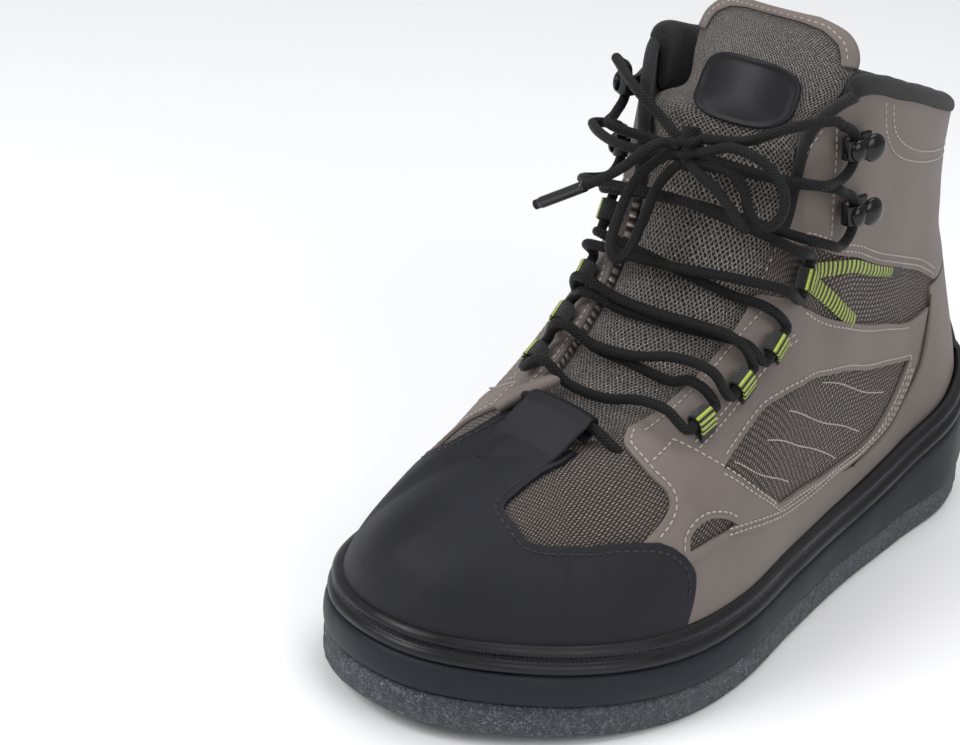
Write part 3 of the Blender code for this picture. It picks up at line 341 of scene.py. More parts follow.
felt, tree, shader = finish("felt", 0.95, sheen=0.25, specular=0.15)
fibres = node(tree, "ShaderNodeGroup", node_tree=felt_group)
fibres.inputs["Fibre"].default_value = 950.0
tree.links.new(fibres.outputs["Color"], shader.inputs["Base Color"])
relief(tree, shader, fibres.outputs["Height"], 0.0016)

FELT_SIDE = ((9.0, lambda y: spring(y)), (2.6, lambda y: spring(y)), (1.2, lambda y: spring(y) + 0.5),
             (0.7, lambda y: spring(y) + 1.8), (0.6, lambda y: spring(y) + 3.6),
             (0.6, lambda y: spring(y) + 5.4), (0.6, lambda y: spring(y) + 7.2),
             (0.7, lambda y: spring(y) + 9.0), (1.0, lambda y: spring(y) + FELT - 0.6),
             (3.0, lambda y: spring(y) + FELT - 0.3))
bm = girdle(FELT_SIDE, 520)
dice = np.random.default_rng(7)
for v in bm.verts:
    if 0.8 * MM < v.co.z - spring(v.co.y / MM) * MM < 10.5 * MM:
        out = Vector((v.co.x, v.co.y - max(min(v.co.y, -0.02), -0.19), 0.0)).normalized()
        v.co += out * MM * float(dice.uniform(-0.35, 0.25))
fill_ends(bm)
piece("felt_outsole", bm, felt, "felt", "outsole_felt")

# ---- Midsole
# Moulded dark foam rubber, deep at the heel and thin under the ball. Its side bellies a little and
# rolls in at the top, where the rand sits on it.
midsole_foam, tree, shader = finish("midsole_foam", 0.55, specular=0.24)
spot = node(tree, "ShaderNodeTexCoord").outputs["Object"]
fine = node(tree, "ShaderNodeTexNoise", {"Vector": spot, "Scale": 1500.0, "Detail": 3.0}).outputs["Fac"]
wide = node(tree, "ShaderNodeTexNoise", {"Vector": spot, "Scale": 30.0, "Detail": 4.0}).outputs["Fac"]
tree.links.new(mixed(tree, wide, rgb(0.0080, 0.0086, 0.0140), rgb(0.0150, 0.0160, 0.0240)),
               shader.inputs["Base Color"])
tree.links.new(ramp(tree, wide, 0.3, 0.7, 0.44, 0.60), shader.inputs["Roughness"])
relief(tree, shader, fine, 0.00012)


def midsole_level(inset, share, more=0.0):
    """Inset with the height at a share of the midsole's side."""
    return inset, lambda y: spring(y) + FELT + more + share * (footbed(y) - spring(y) - FELT)


MIDSOLE_SIDE = (midsole_level(6.0, 0.0, 0.05), midsole_level(1.3, 0.0, 0.05),
                midsole_level(0.5, 0.0, 0.5), midsole_level(0.1, 0.08, 0.9), midsole_level(-0.1, 0.3),
                midsole_level(-0.1, 0.5), midsole_level(0.1, 0.7), midsole_level(0.5, 0.86),
                midsole_level(1.1, 0.95), midsole_level(2.2, 0.995), midsole_level(6.0, 1.0))
bm = girdle(MIDSOLE_SIDE, 400)
fill_ends(bm)
piece("midsole_foam", bm, midsole_foam, "midsole_foam", "midsole")

# ---- Rand
# Black rubber band moulded round the foot where the upper meets the midsole: a broad lower roll, a
# groove, and a narrow upper roll with fine upright ribs in the groove between them.
RAND_HIGH = 9.3
rand_rubber, tree, shader = finish("rand_rubber", 0.42, specular=0.34)
spot = node(tree, "ShaderNodeTexCoord")
fine = node(tree, "ShaderNodeTexNoise",
            {"Vector": spot.outputs["Object"], "Scale": 900.0, "Detail": 4.0}).outputs["Fac"]
wide = node(tree, "ShaderNodeTexNoise",
            {"Vector": spot.outputs["Object"], "Scale": 60.0, "Detail": 3.0}).outputs["Fac"]
split = node(tree, "ShaderNodeSeparateXYZ", {0: spot.outputs["UV"]})
ribs = node(tree, "ShaderNodeMath", {0: calc(tree, "MULTIPLY", split.outputs["X"], 2 * math.pi / 1.7)},
            operation="SINE").outputs[0]
band = calc(tree, "MULTIPLY", ramp(tree, split.outputs["Y"], 0.40, 0.46),
            ramp(tree, split.outputs["Y"], 0.66, 0.60))
height = calc(tree, "ADD", calc(tree, "MULTIPLY", calc(tree, "MULTIPLY", ribs, band), 0.8),
              calc(tree, "MULTIPLY", fine, 0.25))
tree.links.new(mixed(tree, wide, rgb(0.003, 0.003, 0.004), rgb(0.008, 0.008, 0.011)),
               shader.inputs["Base Color"])
tree.links.new(ramp(tree, wide, 0.3, 0.7, 0.34, 0.52), shader.inputs["Roughness"])
relief(tree, shader, height, 0.00035)


def rand_level(inset, share):
    return inset, lambda y: footbed(y) + GAP + share * RAND_HIGH


RAND_SIDE = (rand_level(7.0, -0.03), rand_level(2.0, -0.03), rand_level(1.3, 0.0), rand_level(0.95, 0.06),
             rand_level(0.8, 0.14), rand_level(0.9, 0.22), rand_level(1.3, 0.30), rand_level(1.9, 0.36),
             rand_level(2.4, 0.40), rand_level(2.5, 0.46), rand_level(2.5, 0.54), rand_level(2.4, 0.58),
             rand_level(2.0, 0.62), rand_level(1.95, 0.68), rand_level(2.15, 0.76), rand_level(2.7, 0.85),
             rand_level(3.5, 0.93), rand_level(4.6, 0.98), rand_level(5.6, 0.99), rand_level(6.4, 0.9),
             rand_level(6.5, 0.5))
bm = girdle(RAND_SIDE, 400)
bmesh.ops.recalc_face_normals(bm, faces=bm.faces)
piece("rand_band", bm, rand_rubber, "rubber", "rand")

# ---- Insole
# Loose footbed of cloth over foam, lying in the upper with its edge turned up a little.
lining, tree, shader = finish("lining_cloth", 0.9, sheen=0.2, specular=0.2)
spot = node(tree, "ShaderNodeTexCoord").outputs["Object"]
twill = node(tree, "ShaderNodeTexWave", {"Vector": spot, "Scale": 420.0, "Distortion": 1.5},
             bands_direction="DIAGONAL").outputs["Fac"]
tree.links.new(mixed(tree, twill, rgb(0.012, 0.012, 0.014), rgb(0.035, 0.035, 0.040)),
               shader.inputs["Base Color"])
relief(tree, shader, twill, 0.0003)
UPPER_INSET = 6.5
WALL = 2.4
BED = UPPER_INSET + WALL + 1.7
bm = girdle(((BED + 0.6, lambda y: footbed(y) + 0.5), (BED, lambda y: footbed(y) + 1.5),
             (BED, lambda y: footbed(y) + 3.6), (BED + 1.0, lambda y: footbed(y) + 4.5),
             (BED + 5.0, lambda y: footbed(y) + 4.2)), 240)
fill_ends(bm)
piece("footbed_insole", bm, lining, "lining", "insole")

# ---- Upper: the mesh body
# One sock of coarse open mesh over a lining, drawn over the last and open at collar and throat. It
# shows in the vamp, the side windows and the ankle notch, a little full between the seams.
INSTEP = 112.0
COLLAR_BACK = 138.0
COLLAR_FRONT = 178.0
SHAFT_FRONT = -117.0
SHAFT_BACK = 23.0
VAMP_END = -198.0
THROAT_END = 0.80
# station round the sole: top line y, top line z, half gap outer side, half gap inner side, rise of
# the lower handle, its bulge, drop of the upper handle, its reach
RIBS = (
    (0.00, SHAFT_BACK, COLLAR_BACK, 0, 0, 0.30, 0, 0.42, -5),
    (0.06, SHAFT_BACK - 1.5, COLLAR_BACK + 0.4, 8, 8, 0.29, -1, 0.42, -5),
    (0.12, SHAFT_BACK - 7, COLLAR_BACK + 2, 15, 15, 0.27, -2, 0.42, -4),
    (0.22, SHAFT_BACK - 27, COLLAR_BACK + 9, 25, 25, 0.25, -4, 0.42, -3),
    (0.32, SHAFT_BACK - 57, COLLAR_BACK + 20, 34, 34, 0.27, -4, 0.42, -2),
    (0.41, SHAFT_BACK - 93, COLLAR_FRONT - 7, 38, 40, 0.32, -1, 0.40, 0),
    (0.46, SHAFT_FRONT + 21, COLLAR_FRONT, 36, 40, 0.35, 2, 0.36, 2),
    (0.50, SHAFT_FRONT + 7, COLLAR_FRONT - 9, 29, 34, 0.35, 4, 0.30, 6),
    (0.56, SHAFT_FRONT, INSTEP + 26, 27, 29, 0.35, 4, 0.20, 10),
    (0.61, SHAFT_FRONT - 17, INSTEP, 25, 25, 0.38, 4, 0.10, 12),
    (0.67, VAMP_END + 38, INSTEP - 18, 22, 22, 0.42, 3, 0.06, 16),
    (0.73, VAMP_END + 13, INSTEP - 28, 17, 17, 0.46, 3, 0.02, 20),
    (0.765, VAMP_END + 4, INSTEP - 32, 9, 9, 0.50, 3, 0.00, 24),
    (0.80, VAMP_END, INSTEP - 34, 0, 0, 0.52, 3, 0.00, 28),
    (0.87, VAMP_END - 19, INSTEP - 40, 0, 0, 0.60, 3, 0.00, 26),
    (0.94, VAMP_END - 32, INSTEP - 45, 0, 0, 0.68, 3, 0.02, 20),
    (1.00, VAMP_END - 38, INSTEP - 48, 0, 0, 0.72, 3, 0.04, 12),
)
# station, fullness of the inner side against the outer side
FULLNESS = ((0.0, 1.0), (0.45, 1.0), (0.60, 0.90), (0.72, 0.68), (0.84, 0.84), (0.93, 1.05), (1.0, 1.0))


def upper(side, u, v):
    """Outside of the upper: u round the sole from heel to toe, v from the sole to the top line."""
    side = np.asarray(side, float)
    over = (v > 1) & (u >= THROAT_END)
    back = (u < 0) | (u > 1)
    side = np.where(over ^ back, -side, side)
    v = np.where(over, 2 - v, v)
    u = np.where(u < 0, -u, np.where(u > 1, 2 - u, u))
    fx, fy, nx, ny = outline(side, u, UPPER_INSET)
    fz = footbed(fy) + GAP
    ty, tz, go, gi, up, bulge, drop, reach = [curve(RIBS, k, u) for k in range(1, 9)]
    gap = np.where(side > 0, go, gi)
    gap = np.where((u >= THROAT_END) | (u <= 0), 0, np.maximum(gap, 0))
    full = np.where(side > 0, 1, curve(FULLNESS, 1, u))
    up = up * full
    reach = reach * full
    rise = tz - fz
    e = 1e-3
    dy = curve(RIBS, 1, u + e) - curve(RIBS, 1, u - e)
    slope = (curve(RIBS, 2, u + e) - curve(RIBS, 2, u - e)) / np.where(abs(dy) < 1e-9, 1, dy)
    slope = np.where(u > 0.72, slope * np.clip((u - 0.72) / 0.08, 0, 1), 0)
    s = np.clip((-150 - ty) / 110.0, 0, 1)
    p0 = np.stack([fx, fy, fz], -1)
    p3 = np.stack([TOE_SHIFT * s * s * (3 - 2 * s) + side * gap, ty, tz], -1)
    p1 = p0 + np.stack([nx * bulge, ny * bulge, up * rise], -1)
    p2 = p3 + np.stack([nx * reach, ny * reach, reach * ny * slope - drop * rise], -1)
    w = v[..., None]
    return (1 - w)**3 * p0 + 3 * w * (1 - w)**2 * p1 + 3 * w * w * (1 - w) * p2 + w**3 * p3


def facing(side, u, v):
    """Outward direction of the upper."""
    e = 2e-3
    v = np.where(np.asarray(u) > 0.95, np.minimum(v, 0.97), v)
    a = upper(side, u + e, v) - upper(side, u - e, v)
    b = upper(side, u, v + e) - upper(side, u, v - e)
    n = np.cross(a, b) * -np.asarray(side, float)[..., None]
    return n / np.linalg.norm(n, axis=-1, keepdims=True)


# soft hollows and swells: signed station, share of height, reach of each, depth in mm
FORMS = (
    (0.56, 0.44, 0.090, 0.16, 0.9), (0.46, 0.27, 0.100, 0.10, 0.7), (0.70, 0.88, 0.020, 0.30, -0.5),
    (0.775, 0.70, 0.035, 0.20, 0.8), (0.43, 0.55, 0.060, 0.05, -0.7), (0.40, 0.72, 0.050, 0.10, 0.6),
    (0.36, 0.66, 0.080, 0.03, -0.7), (0.30, 0.80, 0.090, 0.05, -0.5), (0.50, 0.62, 0.030, 0.12, -0.8),
    (0.25, 0.45, 0.060, 0.12, 0.6), (0.14, 0.66, 0.080, 0.06, -0.8), (0.62, 0.16, 0.110, 0.08, 0.4),
    (-0.56, 0.46, 0.100, 0.16, 0.8), (-0.44, 0.56, 0.060, 0.05, -0.7), (-0.36, 0.68, 0.080, 0.03, -0.7),
    (-0.30, 0.80, 0.090, 0.05, -0.5), (-0.25, 0.45, 0.060, 0.12, 0.6), (-0.14, 0.66, 0.080, 0.06, -0.8),
    (-0.62, 0.22, 0.110, 0.08, 0.4), (-0.775, 0.70, 0.035, 0.20, 0.6), (0.0, 0.62, 0.060, 0.07, -0.7),
)


def swell(side, u, v):
    g = np.where(side < 0, -u, u)
    total = 0 * g
    for g0, v0, rg, rv, deep in FORMS:
        total = total + deep * np.exp(-((g - g0) / rg) ** 2 - ((v - v0) / rv) ** 2)
    return total * np.clip(v / 0.1, 0, 1)


def skin(side, u, v, out):
    """A point at a distance outside the upper, in mm."""
    side = np.asarray(side, float) + 0 * np.asarray(u, float)
    u = np.asarray(u, float) + 0 * side
    v = np.asarray(v, float) + 0 * side
    out = np.asarray(out, float) + swell(side, u, v)
    return upper(side, u, v) + facing(side, u, v) * out[..., None]


mesh_group = tree = group("open_mesh", ("Vector", "Pitch", "Zigzag"), ("Thread", "Height", "Shade"))
given = node(tree, "NodeGroupInput").outputs
split = node(tree, "ShaderNodeSeparateXYZ", {0: given["Vector"]})
wander = node(tree, "ShaderNodeTexNoise",
              {"Vector": given["Vector"], "Scale": 0.35, "Detail": 2.0}).outputs["Fac"]
x = calc(tree, "DIVIDE", split.outputs["X"], given["Pitch"])
y = calc(tree, "DIVIDE", split.outputs["Y"], calc(tree, "MULTIPLY", given["Pitch"], 0.62))
y = calc(tree, "ADD", y, calc(tree, "MULTIPLY", wander, 0.8))
zig = calc(tree, "MULTIPLY", calc(tree, "PINGPONG", x, 0.5), given["Zigzag"])
y = calc(tree, "ADD", y, zig)
row = calc(tree, "FLOOR", y)
x = calc(tree, "ADD", x, calc(tree, "MULTIPLY", calc(tree, "FLOORED_MODULO", row, 2.0), 0.5))
fx = calc(tree, "SUBTRACT", calc(tree, "FRACT", x), 0.5)
fy = calc(tree, "SUBTRACT", calc(tree, "FRACT", y), 0.5)
lean = calc(tree, "ADD", fx, calc(tree, "MULTIPLY", fy, 0.45))
far = calc(tree, "SQRT", calc(tree, "ADD", calc(tree, "POWER", calc(tree, "MULTIPLY", lean, 1.15), 2.0),
                              calc(tree, "POWER", calc(tree, "MULTIPLY", fy, 0.85), 2.0)))
hairs = node(tree, "ShaderNodeTexNoise",
             {"Vector": given["Vector"], "Scale": 3.2, "Detail": 3.0, "Roughness": 0.7,
              "Distortion": 0.6}).outputs["Fac"]
loop = ramp(tree, calc(tree, "ADD", far, calc(tree, "MULTIPLY", calc(tree, "SUBTRACT", hairs, 0.5), 0.35)),
            0.46, 0.20)
node(tree, "NodeGroupOutput",
     {"Thread": loop, "Height": calc(tree, "ADD", loop, calc(tree, "MULTIPLY", hairs, 0.4)),
      "Shade": hairs})

# the tongue's knit: two sets of slanting threads that cross in small diamonds
diamond_group = tree = group("diamond_knit", ("Vector", "Pitch", "Zigzag"), ("Thread", "Height", "Shade"))
given = node(tree, "NodeGroupInput").outputs
split = node(tree, "ShaderNodeSeparateXYZ", {0: given["Vector"]})
wander = node(tree, "ShaderNodeTexNoise",
              {"Vector": given["Vector"], "Scale": 0.5, "Detail": 3.0}).outputs["Fac"]
hairs = node(tree, "ShaderNodeTexNoise",
             {"Vector": given["Vector"], "Scale": 2.6, "Detail": 4.0, "Roughness": 0.7,
              "Distortion": 0.8}).outputs["Fac"]
x = calc(tree, "ADD", calc(tree, "DIVIDE", split.outputs["X"], given["Pitch"]), wander)
y = calc(tree, "DIVIDE", split.outputs["Y"], calc(tree, "MULTIPLY", given["Pitch"], 1.05))
sway = calc(tree, "MULTIPLY", calc(tree, "SUBTRACT", hairs, 0.5), given["Zigzag"])
one = calc(tree, "PINGPONG", calc(tree, "ADD", calc(tree, "ADD", x, y), sway), 0.5)
two = calc(tree, "PINGPONG", calc(tree, "SUBTRACT", calc(tree, "SUBTRACT", x, y), sway), 0.5)
weave = ramp(tree, calc(tree, "MAXIMUM", one, two), 0.26, 0.46)
node(tree, "NodeGroupOutput",
     {"Thread": weave, "Height": calc(tree, "ADD", weave, calc(tree, "MULTIPLY", hairs, 0.5)),
      "Shade": hairs})


def mesh_cloth(name, pitch, zigzag, ground, thread, painted_highlight, deep, group=mesh_group):
    """Knitted mesh on the piece's own UV in millimetres, with a painted highlight on the crowns of its
    loops.
    """
    material, tree, shader = finish(name, 0.8, sheen=0.15, specular=0.25)
    spot = node(tree, "ShaderNodeTexCoord").outputs["UV"]
    knit = node(tree, "ShaderNodeGroup", {}, node_tree=group)
    tree.links.new(spot, knit.inputs["Vector"])
    knit.inputs["Pitch"].default_value = pitch
    knit.inputs["Zigzag"].default_value = zigzag
    colour = mixed(tree, ramp(tree, knit.outputs["Thread"], 0.15, 0.9), ground, thread)
    # painted highlight: the crowns of the loops turn to the highlight colour where the random Shade noise
    # is high
    glint = calc(tree, "MULTIPLY", ramp(tree, knit.outputs["Thread"], 0.6, 1.0),
                 ramp(tree, knit.outputs["Shade"], 0.45, 0.7))
    tree.links.new(mixed(tree, glint, colour, painted_highlight), shader.inputs["Base Color"])
    relief(tree, shader, knit.outputs["Height"], deep)
    return material


body_mesh = mesh_cloth("body_mesh", 1.7, 0.0, rgb(0.022, 0.014, 0.011), rgb(0.180, 0.140, 0.118),
                       rgb(0.75, 0.65, 0.57), 0.0013)


def body_half(side):
    def where(x, y):
        return skin(np.full(len(x), side), x, y, 0.0)
    bm = mapped(276, 76, where, 0)
    scaled_uv(bm, 330.0, 95.0)
    return bm


bm = body_half(1.0)
other = bpy.data.meshes.new("inner_half")
half = body_half(-1.0)
half.to_mesh(other)
half.free()
bm.from_mesh(other)
bpy.data.meshes.remove(other)
bmesh.ops.remove_doubles(bm, verts=bm.verts, dist=0.12 * MM)
bmesh.ops.recalc_face_normals(bm, faces=bm.faces)
body = piece("mesh_body", bm, body_mesh, "mesh", "upper")
body.data.materials.append(lining)
wall = walled(body, WALL, -1.0)
wall.material_offset = 1
wall.material_offset_rim = 0

# ---- Seams
# Every row of lockstitch, laid out on the upper before the panels are cut, because each row draws
# its panel down into a fine trough. Pale thread on the taupe skins, black on the cap. A row's line
# gives signed stations, plus outside and minus inside, with the share of the upper's height.


def smooth(points, per=10, closed=True):
    """Outline or row through given points, straight-ended at the corners."""
    p = np.array([q[:2] for q in points], float)
    corner = [len(q) > 2 for q in points]
    n = len(p)
    if not closed:
        corner[0] = corner[-1] = True
    out = []
    for i in range(n if closed else n - 1):
        j = (i + 1) % n
        a = p[j] - p[i] if corner[i] else (p[j] - p[i - 1]) / 2
        b = p[j] - p[i] if corner[j] else (p[(j + 1) % n] - p[i]) / 2
        for k in range(per):
            t = k / per
            out.append((2 * t**3 - 3 * t**2 + 1) * p[i] + (t**3 - 2 * t**2 + t) * a
                       + (3 * t**2 - 2 * t**3) * p[j] + (t**3 - t**2) * b)
    if not closed:
        out.append(p[-1])
    return np.array(out)


def chart(g, v, out, toe=False):
    """Point from signed station and height; a toe chart counts stations from the toe."""
    side = np.where(g < 0, -1.0, 1.0)
    u = 1 - abs(g) if toe else abs(g)
    return skin(side, u, v, out)


def aside(run, distance, toe=False):
    """A chart row moved sideways over the surface by a distance in mm."""
    run = np.array(run, float)
    g = run[:, 0]
    v = run[:, 1]
    e = 1e-3
    du = (chart(g + e, v, 0 * g, toe) - chart(g - e, v, 0 * g, toe)) / (2 * e)
    dv = (chart(g, v + e, 0 * g, toe) - chart(g, v - e, 0 * g, toe)) / (2 * e)
    step = np.gradient(run, axis=0)
    ahead = du * step[:, :1] + dv * step[:, 1:]
    normal = np.cross(du, dv)
    normal = normal / np.linalg.norm(normal, axis=1, keepdims=True)
    left = np.cross(normal, ahead)
    left = left / np.linalg.norm(left, axis=1, keepdims=True) * distance
    a11 = (du * du).sum(1)
    a12 = (du * dv).sum(1)
    a22 = (dv * dv).sum(1)
    b1 = (du * left).sum(1)
    b2 = (dv * left).sum(1)
    det = a11 * a22 - a12 * a12
    return run + np.stack([(a22 * b1 - a12 * b2) / det, (a11 * b2 - a12 * b1) / det], -1)


def flipped(points):
    return tuple((-q[0],) + tuple(q[1:]) for q in points)


CAP_EDGE = ((0.315, 0.24), (0.306, 0.33), (0.279, 0.435), (0.238, 0.492), (0.188, 0.525), (0.158, 0.583),
            (0.146, 0.683), (0.133, 0.817), (0.154, 0.856), (0.179, 0.872), (0.205, 0.874),
            (0.228, 0.935, 1))
CAP_EDGE_IN = ((-0.335, 0.24), (-0.322, 0.33), (-0.292, 0.43), (-0.262, 0.53), (-0.247, 0.62),
               (-0.245, 0.70), (-0.249, 0.78), (-0.254, 0.86), (-0.248, 0.935), (-0.225, 0.985),
               (-0.2, 1, 1))
QUARTER_FRONT = ((0.600, 1, 1), (0.725, 1, 1), (0.735, 0.90), (0.727, 0.73), (0.713, 0.60), (0.716, 0.53),
                 (0.738, 0.460, 1), (0.706, 0.325, 1))
QUARTER_LOW = ((0.650, 0.318), (0.621, 0.280), (0.558, 0.193), (0.500, 0.143), (0.429, 0.135),
               (0.371, 0.162), (0.340, 0.225), (0.322, 0.290), (0.306, 0.392), (0.292, 0.462, 1))
QUARTER_LOW_IN = ((0.640, 0.328), (0.580, 0.322), (0.500, 0.302), (0.420, 0.286), (0.365, 0.302),
                  (0.330, 0.345), (0.306, 0.400), (0.292, 0.462, 1))
WINDOW_IN = ((0.660, 0.580, 1), (0.640, 0.460), (0.600, 0.385, 1), (0.520, 0.350), (0.440, 0.332),
             (0.385, 0.332), (0.340, 0.372, 1), (0.388, 0.405), (0.446, 0.425), (0.496, 0.455),
             (0.546, 0.520), (0.588, 0.580), (0.613, 0.610), (0.642, 0.605))
HEEL_FRONT_IN = ((0.283, 0.520, 1), (0.290, 0.450), (0.301, 0.392), (0.324, 0.330), (0.361, 0.288),
                 (0.420, 0.272), (0.500, 0.288), (0.580, 0.308), (0.640, 0.314))
NOTCH_LOW = ((0.338, 0.452), (0.396, 0.484), (0.454, 0.500), (0.500, 0.560), (0.550, 0.692),
             (0.583, 0.85))
WINDOW = ((0.660, 0.565, 1), (0.621, 0.408), (0.575, 0.262, 1), (0.542, 0.225), (0.487, 0.172),
          (0.433, 0.160), (0.392, 0.190), (0.357, 0.262), (0.334, 0.330, 1), (0.388, 0.362),
          (0.446, 0.380), (0.496, 0.417), (0.546, 0.492), (0.588, 0.562), (0.613, 0.600), (0.642, 0.590))
HEEL_FRONT = ((0.283, 0.520, 1), (0.290, 0.450), (0.303, 0.385), (0.318, 0.285), (0.336, 0.218),
              (0.367, 0.153), (0.429, 0.125), (0.500, 0.132))
LOW_STRIP = ((0.500, 0.165), (0.558, 0.222), (0.621, 0.305), (0.650, 0.335), (0.704, 0.350, 1))
NOTCH_TOP = ((0.268, 0.530, 1), (0.292, 0.560), (0.329, 0.596), (0.388, 0.628), (0.442, 0.648),
             (0.483, 0.682), (0.533, 0.800), (0.565, 0.930), (0.570, 1, 1))
SMALL_WINDOW = ((0.694, 0.362, 1), (0.694, 0.405), (0.686, 0.432), (0.673, 0.428), (0.655, 0.390),
                (0.640, 0.342, 1), (0.668, 0.358))

# height of the thread on the quarters and on the skins that lie under them
LAID = 1.45
UNDER = 1.05
rows = []


def row(points, out, thread="pale", per=8, shift=0.0, toe=False, closed=False):
    """One row of stitches on a chart line, moved sideways, on a skin of that height."""
    line = smooth(points, per, closed)
    if shift:
        line = aside(line, shift, toe)
    g = line[:, 0]
    rows.append((chart(g, line[:, 1], np.full(len(g), out), toe),
                 chart(g, line[:, 1], np.full(len(g), out + 1.0), toe), thread))


for mirror_side in (1, -1):
    def own(points):
        return points if mirror_side > 0 else flipped(points)
    m = float(mirror_side)
    front = own(QUARTER_FRONT[1:6] + ((0.731, 0.475),))
    row(front, LAID, shift=-2.3 * m, per=10)
    row(own(((0.598, 0.900), (0.621, 0.945), (0.650, 0.955), (0.690, 0.950), (0.718, 0.93))), LAID)
    box_end = ((0.622, 0.410), (0.578, 0.262)) if mirror_side > 0 else ((0.622, 0.430), (0.605, 0.395))
    row(own(((0.721, 0.767), (0.700, 0.808, 1), (0.683, 0.692), (0.660, 0.570)) + box_end), LAID)
    row(own(((0.562, 0.642), (0.600, 0.706), (0.629, 0.724), (0.658, 0.716), (0.684, 0.702))), LAID)
    row(own(((0.562, 0.642), (0.600, 0.706), (0.629, 0.724), (0.658, 0.716), (0.684, 0.702))), LAID,
        shift=2.1 * m)
    window = WINDOW if mirror_side > 0 else flipped(WINDOW_IN)
    row(window, LAID, shift=1.9 * m, closed=True)
    row(own(NOTCH_LOW[:-1]), LAID, shift=-2.0 * m)
    low = QUARTER_LOW[:-2] if mirror_side > 0 else flipped(QUARTER_LOW_IN[:-2])
    row(low, LAID, shift=-1.6 * m)
    row(low, LAID, shift=-3.4 * m)
    heel = HEEL_FRONT[1:6] if mirror_side > 0 else flipped(HEEL_FRONT_IN[1:5])
    row(heel, UNDER, shift=-2.8 * m)
    row(own(NOTCH_TOP[:-1]), UNDER, shift=1.8 * m)
    row(own(NOTCH_TOP[:-1]), UNDER, shift=4.0 * m)
    row(own(((0.432, 0.99), (0.425, 0.925), (0.405, 0.888), (0.360, 0.878), (0.270, 0.880), (0.150, 0.885),
             (0.0, 0.888))), UNDER)
    row(own(((0.422, 0.99), (0.415, 0.940), (0.395, 0.912), (0.355, 0.902), (0.270, 0.904), (0.150, 0.909),
             (0.0, 0.912))), UNDER)
    row(own(((0.536, 0.985), (0.500, 0.975), (0.480, 0.965), (0.4835, 0.72))), UNDER)
    for line in (((0.496, 0.400), (0.442, 0.333), (0.380, 0.278)),
                 ((0.571, 0.483), (0.496, 0.308), (0.420, 0.205)),
                 ((0.604, 0.492), (0.537, 0.325), (0.462, 0.175)),
                 ((0.646, 0.545), (0.608, 0.408), (0.553, 0.270))):
        if mirror_side < 0:
            line = [(u, 0.33 + (v - 0.16) * 0.62) for u, v in line]
        row(own(line), 0.15, thread="fine")
row(SMALL_WINDOW[:6], LAID, shift=-2.2)
row([(0.313, 0.20)] + list(CAP_EDGE), 1.75, thread="black", shift=2.6, toe=True)
row([(-0.338, 0.20)] + list(CAP_EDGE_IN[:-2]), 1.75, thread="black", shift=-2.6, toe=True)

seam_tree = KDTree(sum(len(r[0]) for r in rows) * 4)
for top, over, thread in rows:
    for k in range(len(top) - 1):
        for t in (0.0, 0.25, 0.5, 0.75):
            seam_tree.insert(Vector(top[k] * (1 - t) + top[k + 1] * t), 0)
seam_tree.balance()


def pulled(spots):
    """How far each point is drawn in by the seam nearest to it, in mm."""
    return np.array([0.38 * math.exp(-(seam_tree.find(Vector(p))[2] / 1.15) ** 2) for p in spots])


thread_group = tree = group("twisted_thread")
spot = node(tree, "ShaderNodeTexCoord").outputs["Object"]
ply = node(tree, "ShaderNodeTexWave", {"Vector": spot, "Scale": 900.0, "Distortion": 2.0},
           bands_direction="DIAGONAL")
node(tree, "NodeGroupOutput", {"Height": ply.outputs["Fac"]})


def thread_finish(name, colour):
    material, tree, shader = finish(name, 0.6, sheen=0.2)
    twist = node(tree, "ShaderNodeGroup", node_tree=thread_group)
    # painted shade: the thread darkens to 0.7 of its colour in the grooves of its twist
    tree.links.new(mixed(tree, twist.outputs["Height"], tuple(c * 0.7 for c in colour[:3]) + (1.0,),
                         colour),
                   shader.inputs["Base Color"])
    relief(tree, shader, twist.outputs["Height"], 0.0001)
    return material


def joined(bm, other):
    """Adds another bmesh to this one."""
    mesh = bpy.data.meshes.new("part")
    other.to_mesh(mesh)
    other.free()
    bm.from_mesh(mesh)
    bpy.data.meshes.remove(mesh)


def sewn(name, kinds, pitch, long, thick, material):
    """All the stitches of one thread as one mesh of small rounded lengths."""
    bm = bmesh.new()
    for top, over, thread in rows:
        if thread not in kinds:
            continue
        line = bmesh.new()
        run = np.concatenate([[0.0], np.cumsum(np.linalg.norm(np.diff(top, axis=0), axis=1))])
        for k in range(int(run[-1] / pitch)):
            s = (k + 0.5) * pitch
            p = np.array([np.interp(s, run, top[:, c]) for c in range(3)])
            q = np.array([np.interp(s + 0.4, run, top[:, c]) for c in range(3)])
            o = np.array([np.interp(s, run, over[:, c]) for c in range(3)])
            ahead = Vector(q - p).normalized()
            out = Vector(o - p).normalized()
            aside_way = out.cross(ahead).normalized()
            spin = Matrix((ahead, aside_way, ahead.cross(aside_way))).transposed().to_4x4()
            size = Matrix.Diagonal((long / 2 * MM, thick * MM, thick * 0.8 * MM, 1.0))
            place = Matrix.Translation(Vector(p) * MM - out * 0.12 * MM) @ spin @ size
            bmesh.ops.create_uvsphere(line, u_segments=6, v_segments=4, radius=1.0,
                                      matrix=place @ Matrix.Rotation(math.pi / 2, 4, "Y"))
        joined(bm, line)
    return piece(name, bm, material, "taupe_skin")


pale_thread = thread_finish("pale_thread", rgb(0.50, 0.44, 0.39))
black_thread = thread_finish("black_thread", rgb(0.005, 0.005, 0.007))
sewn("stitches_pale", ("pale",), 2.6, 2.1, 0.36, pale_thread)
sewn("stitches_window", ("fine",), 1.5, 1.5, 0.30, pale_thread)
sewn("stitches_cap", ("black",), 2.9, 2.3, 0.32, black_thread)

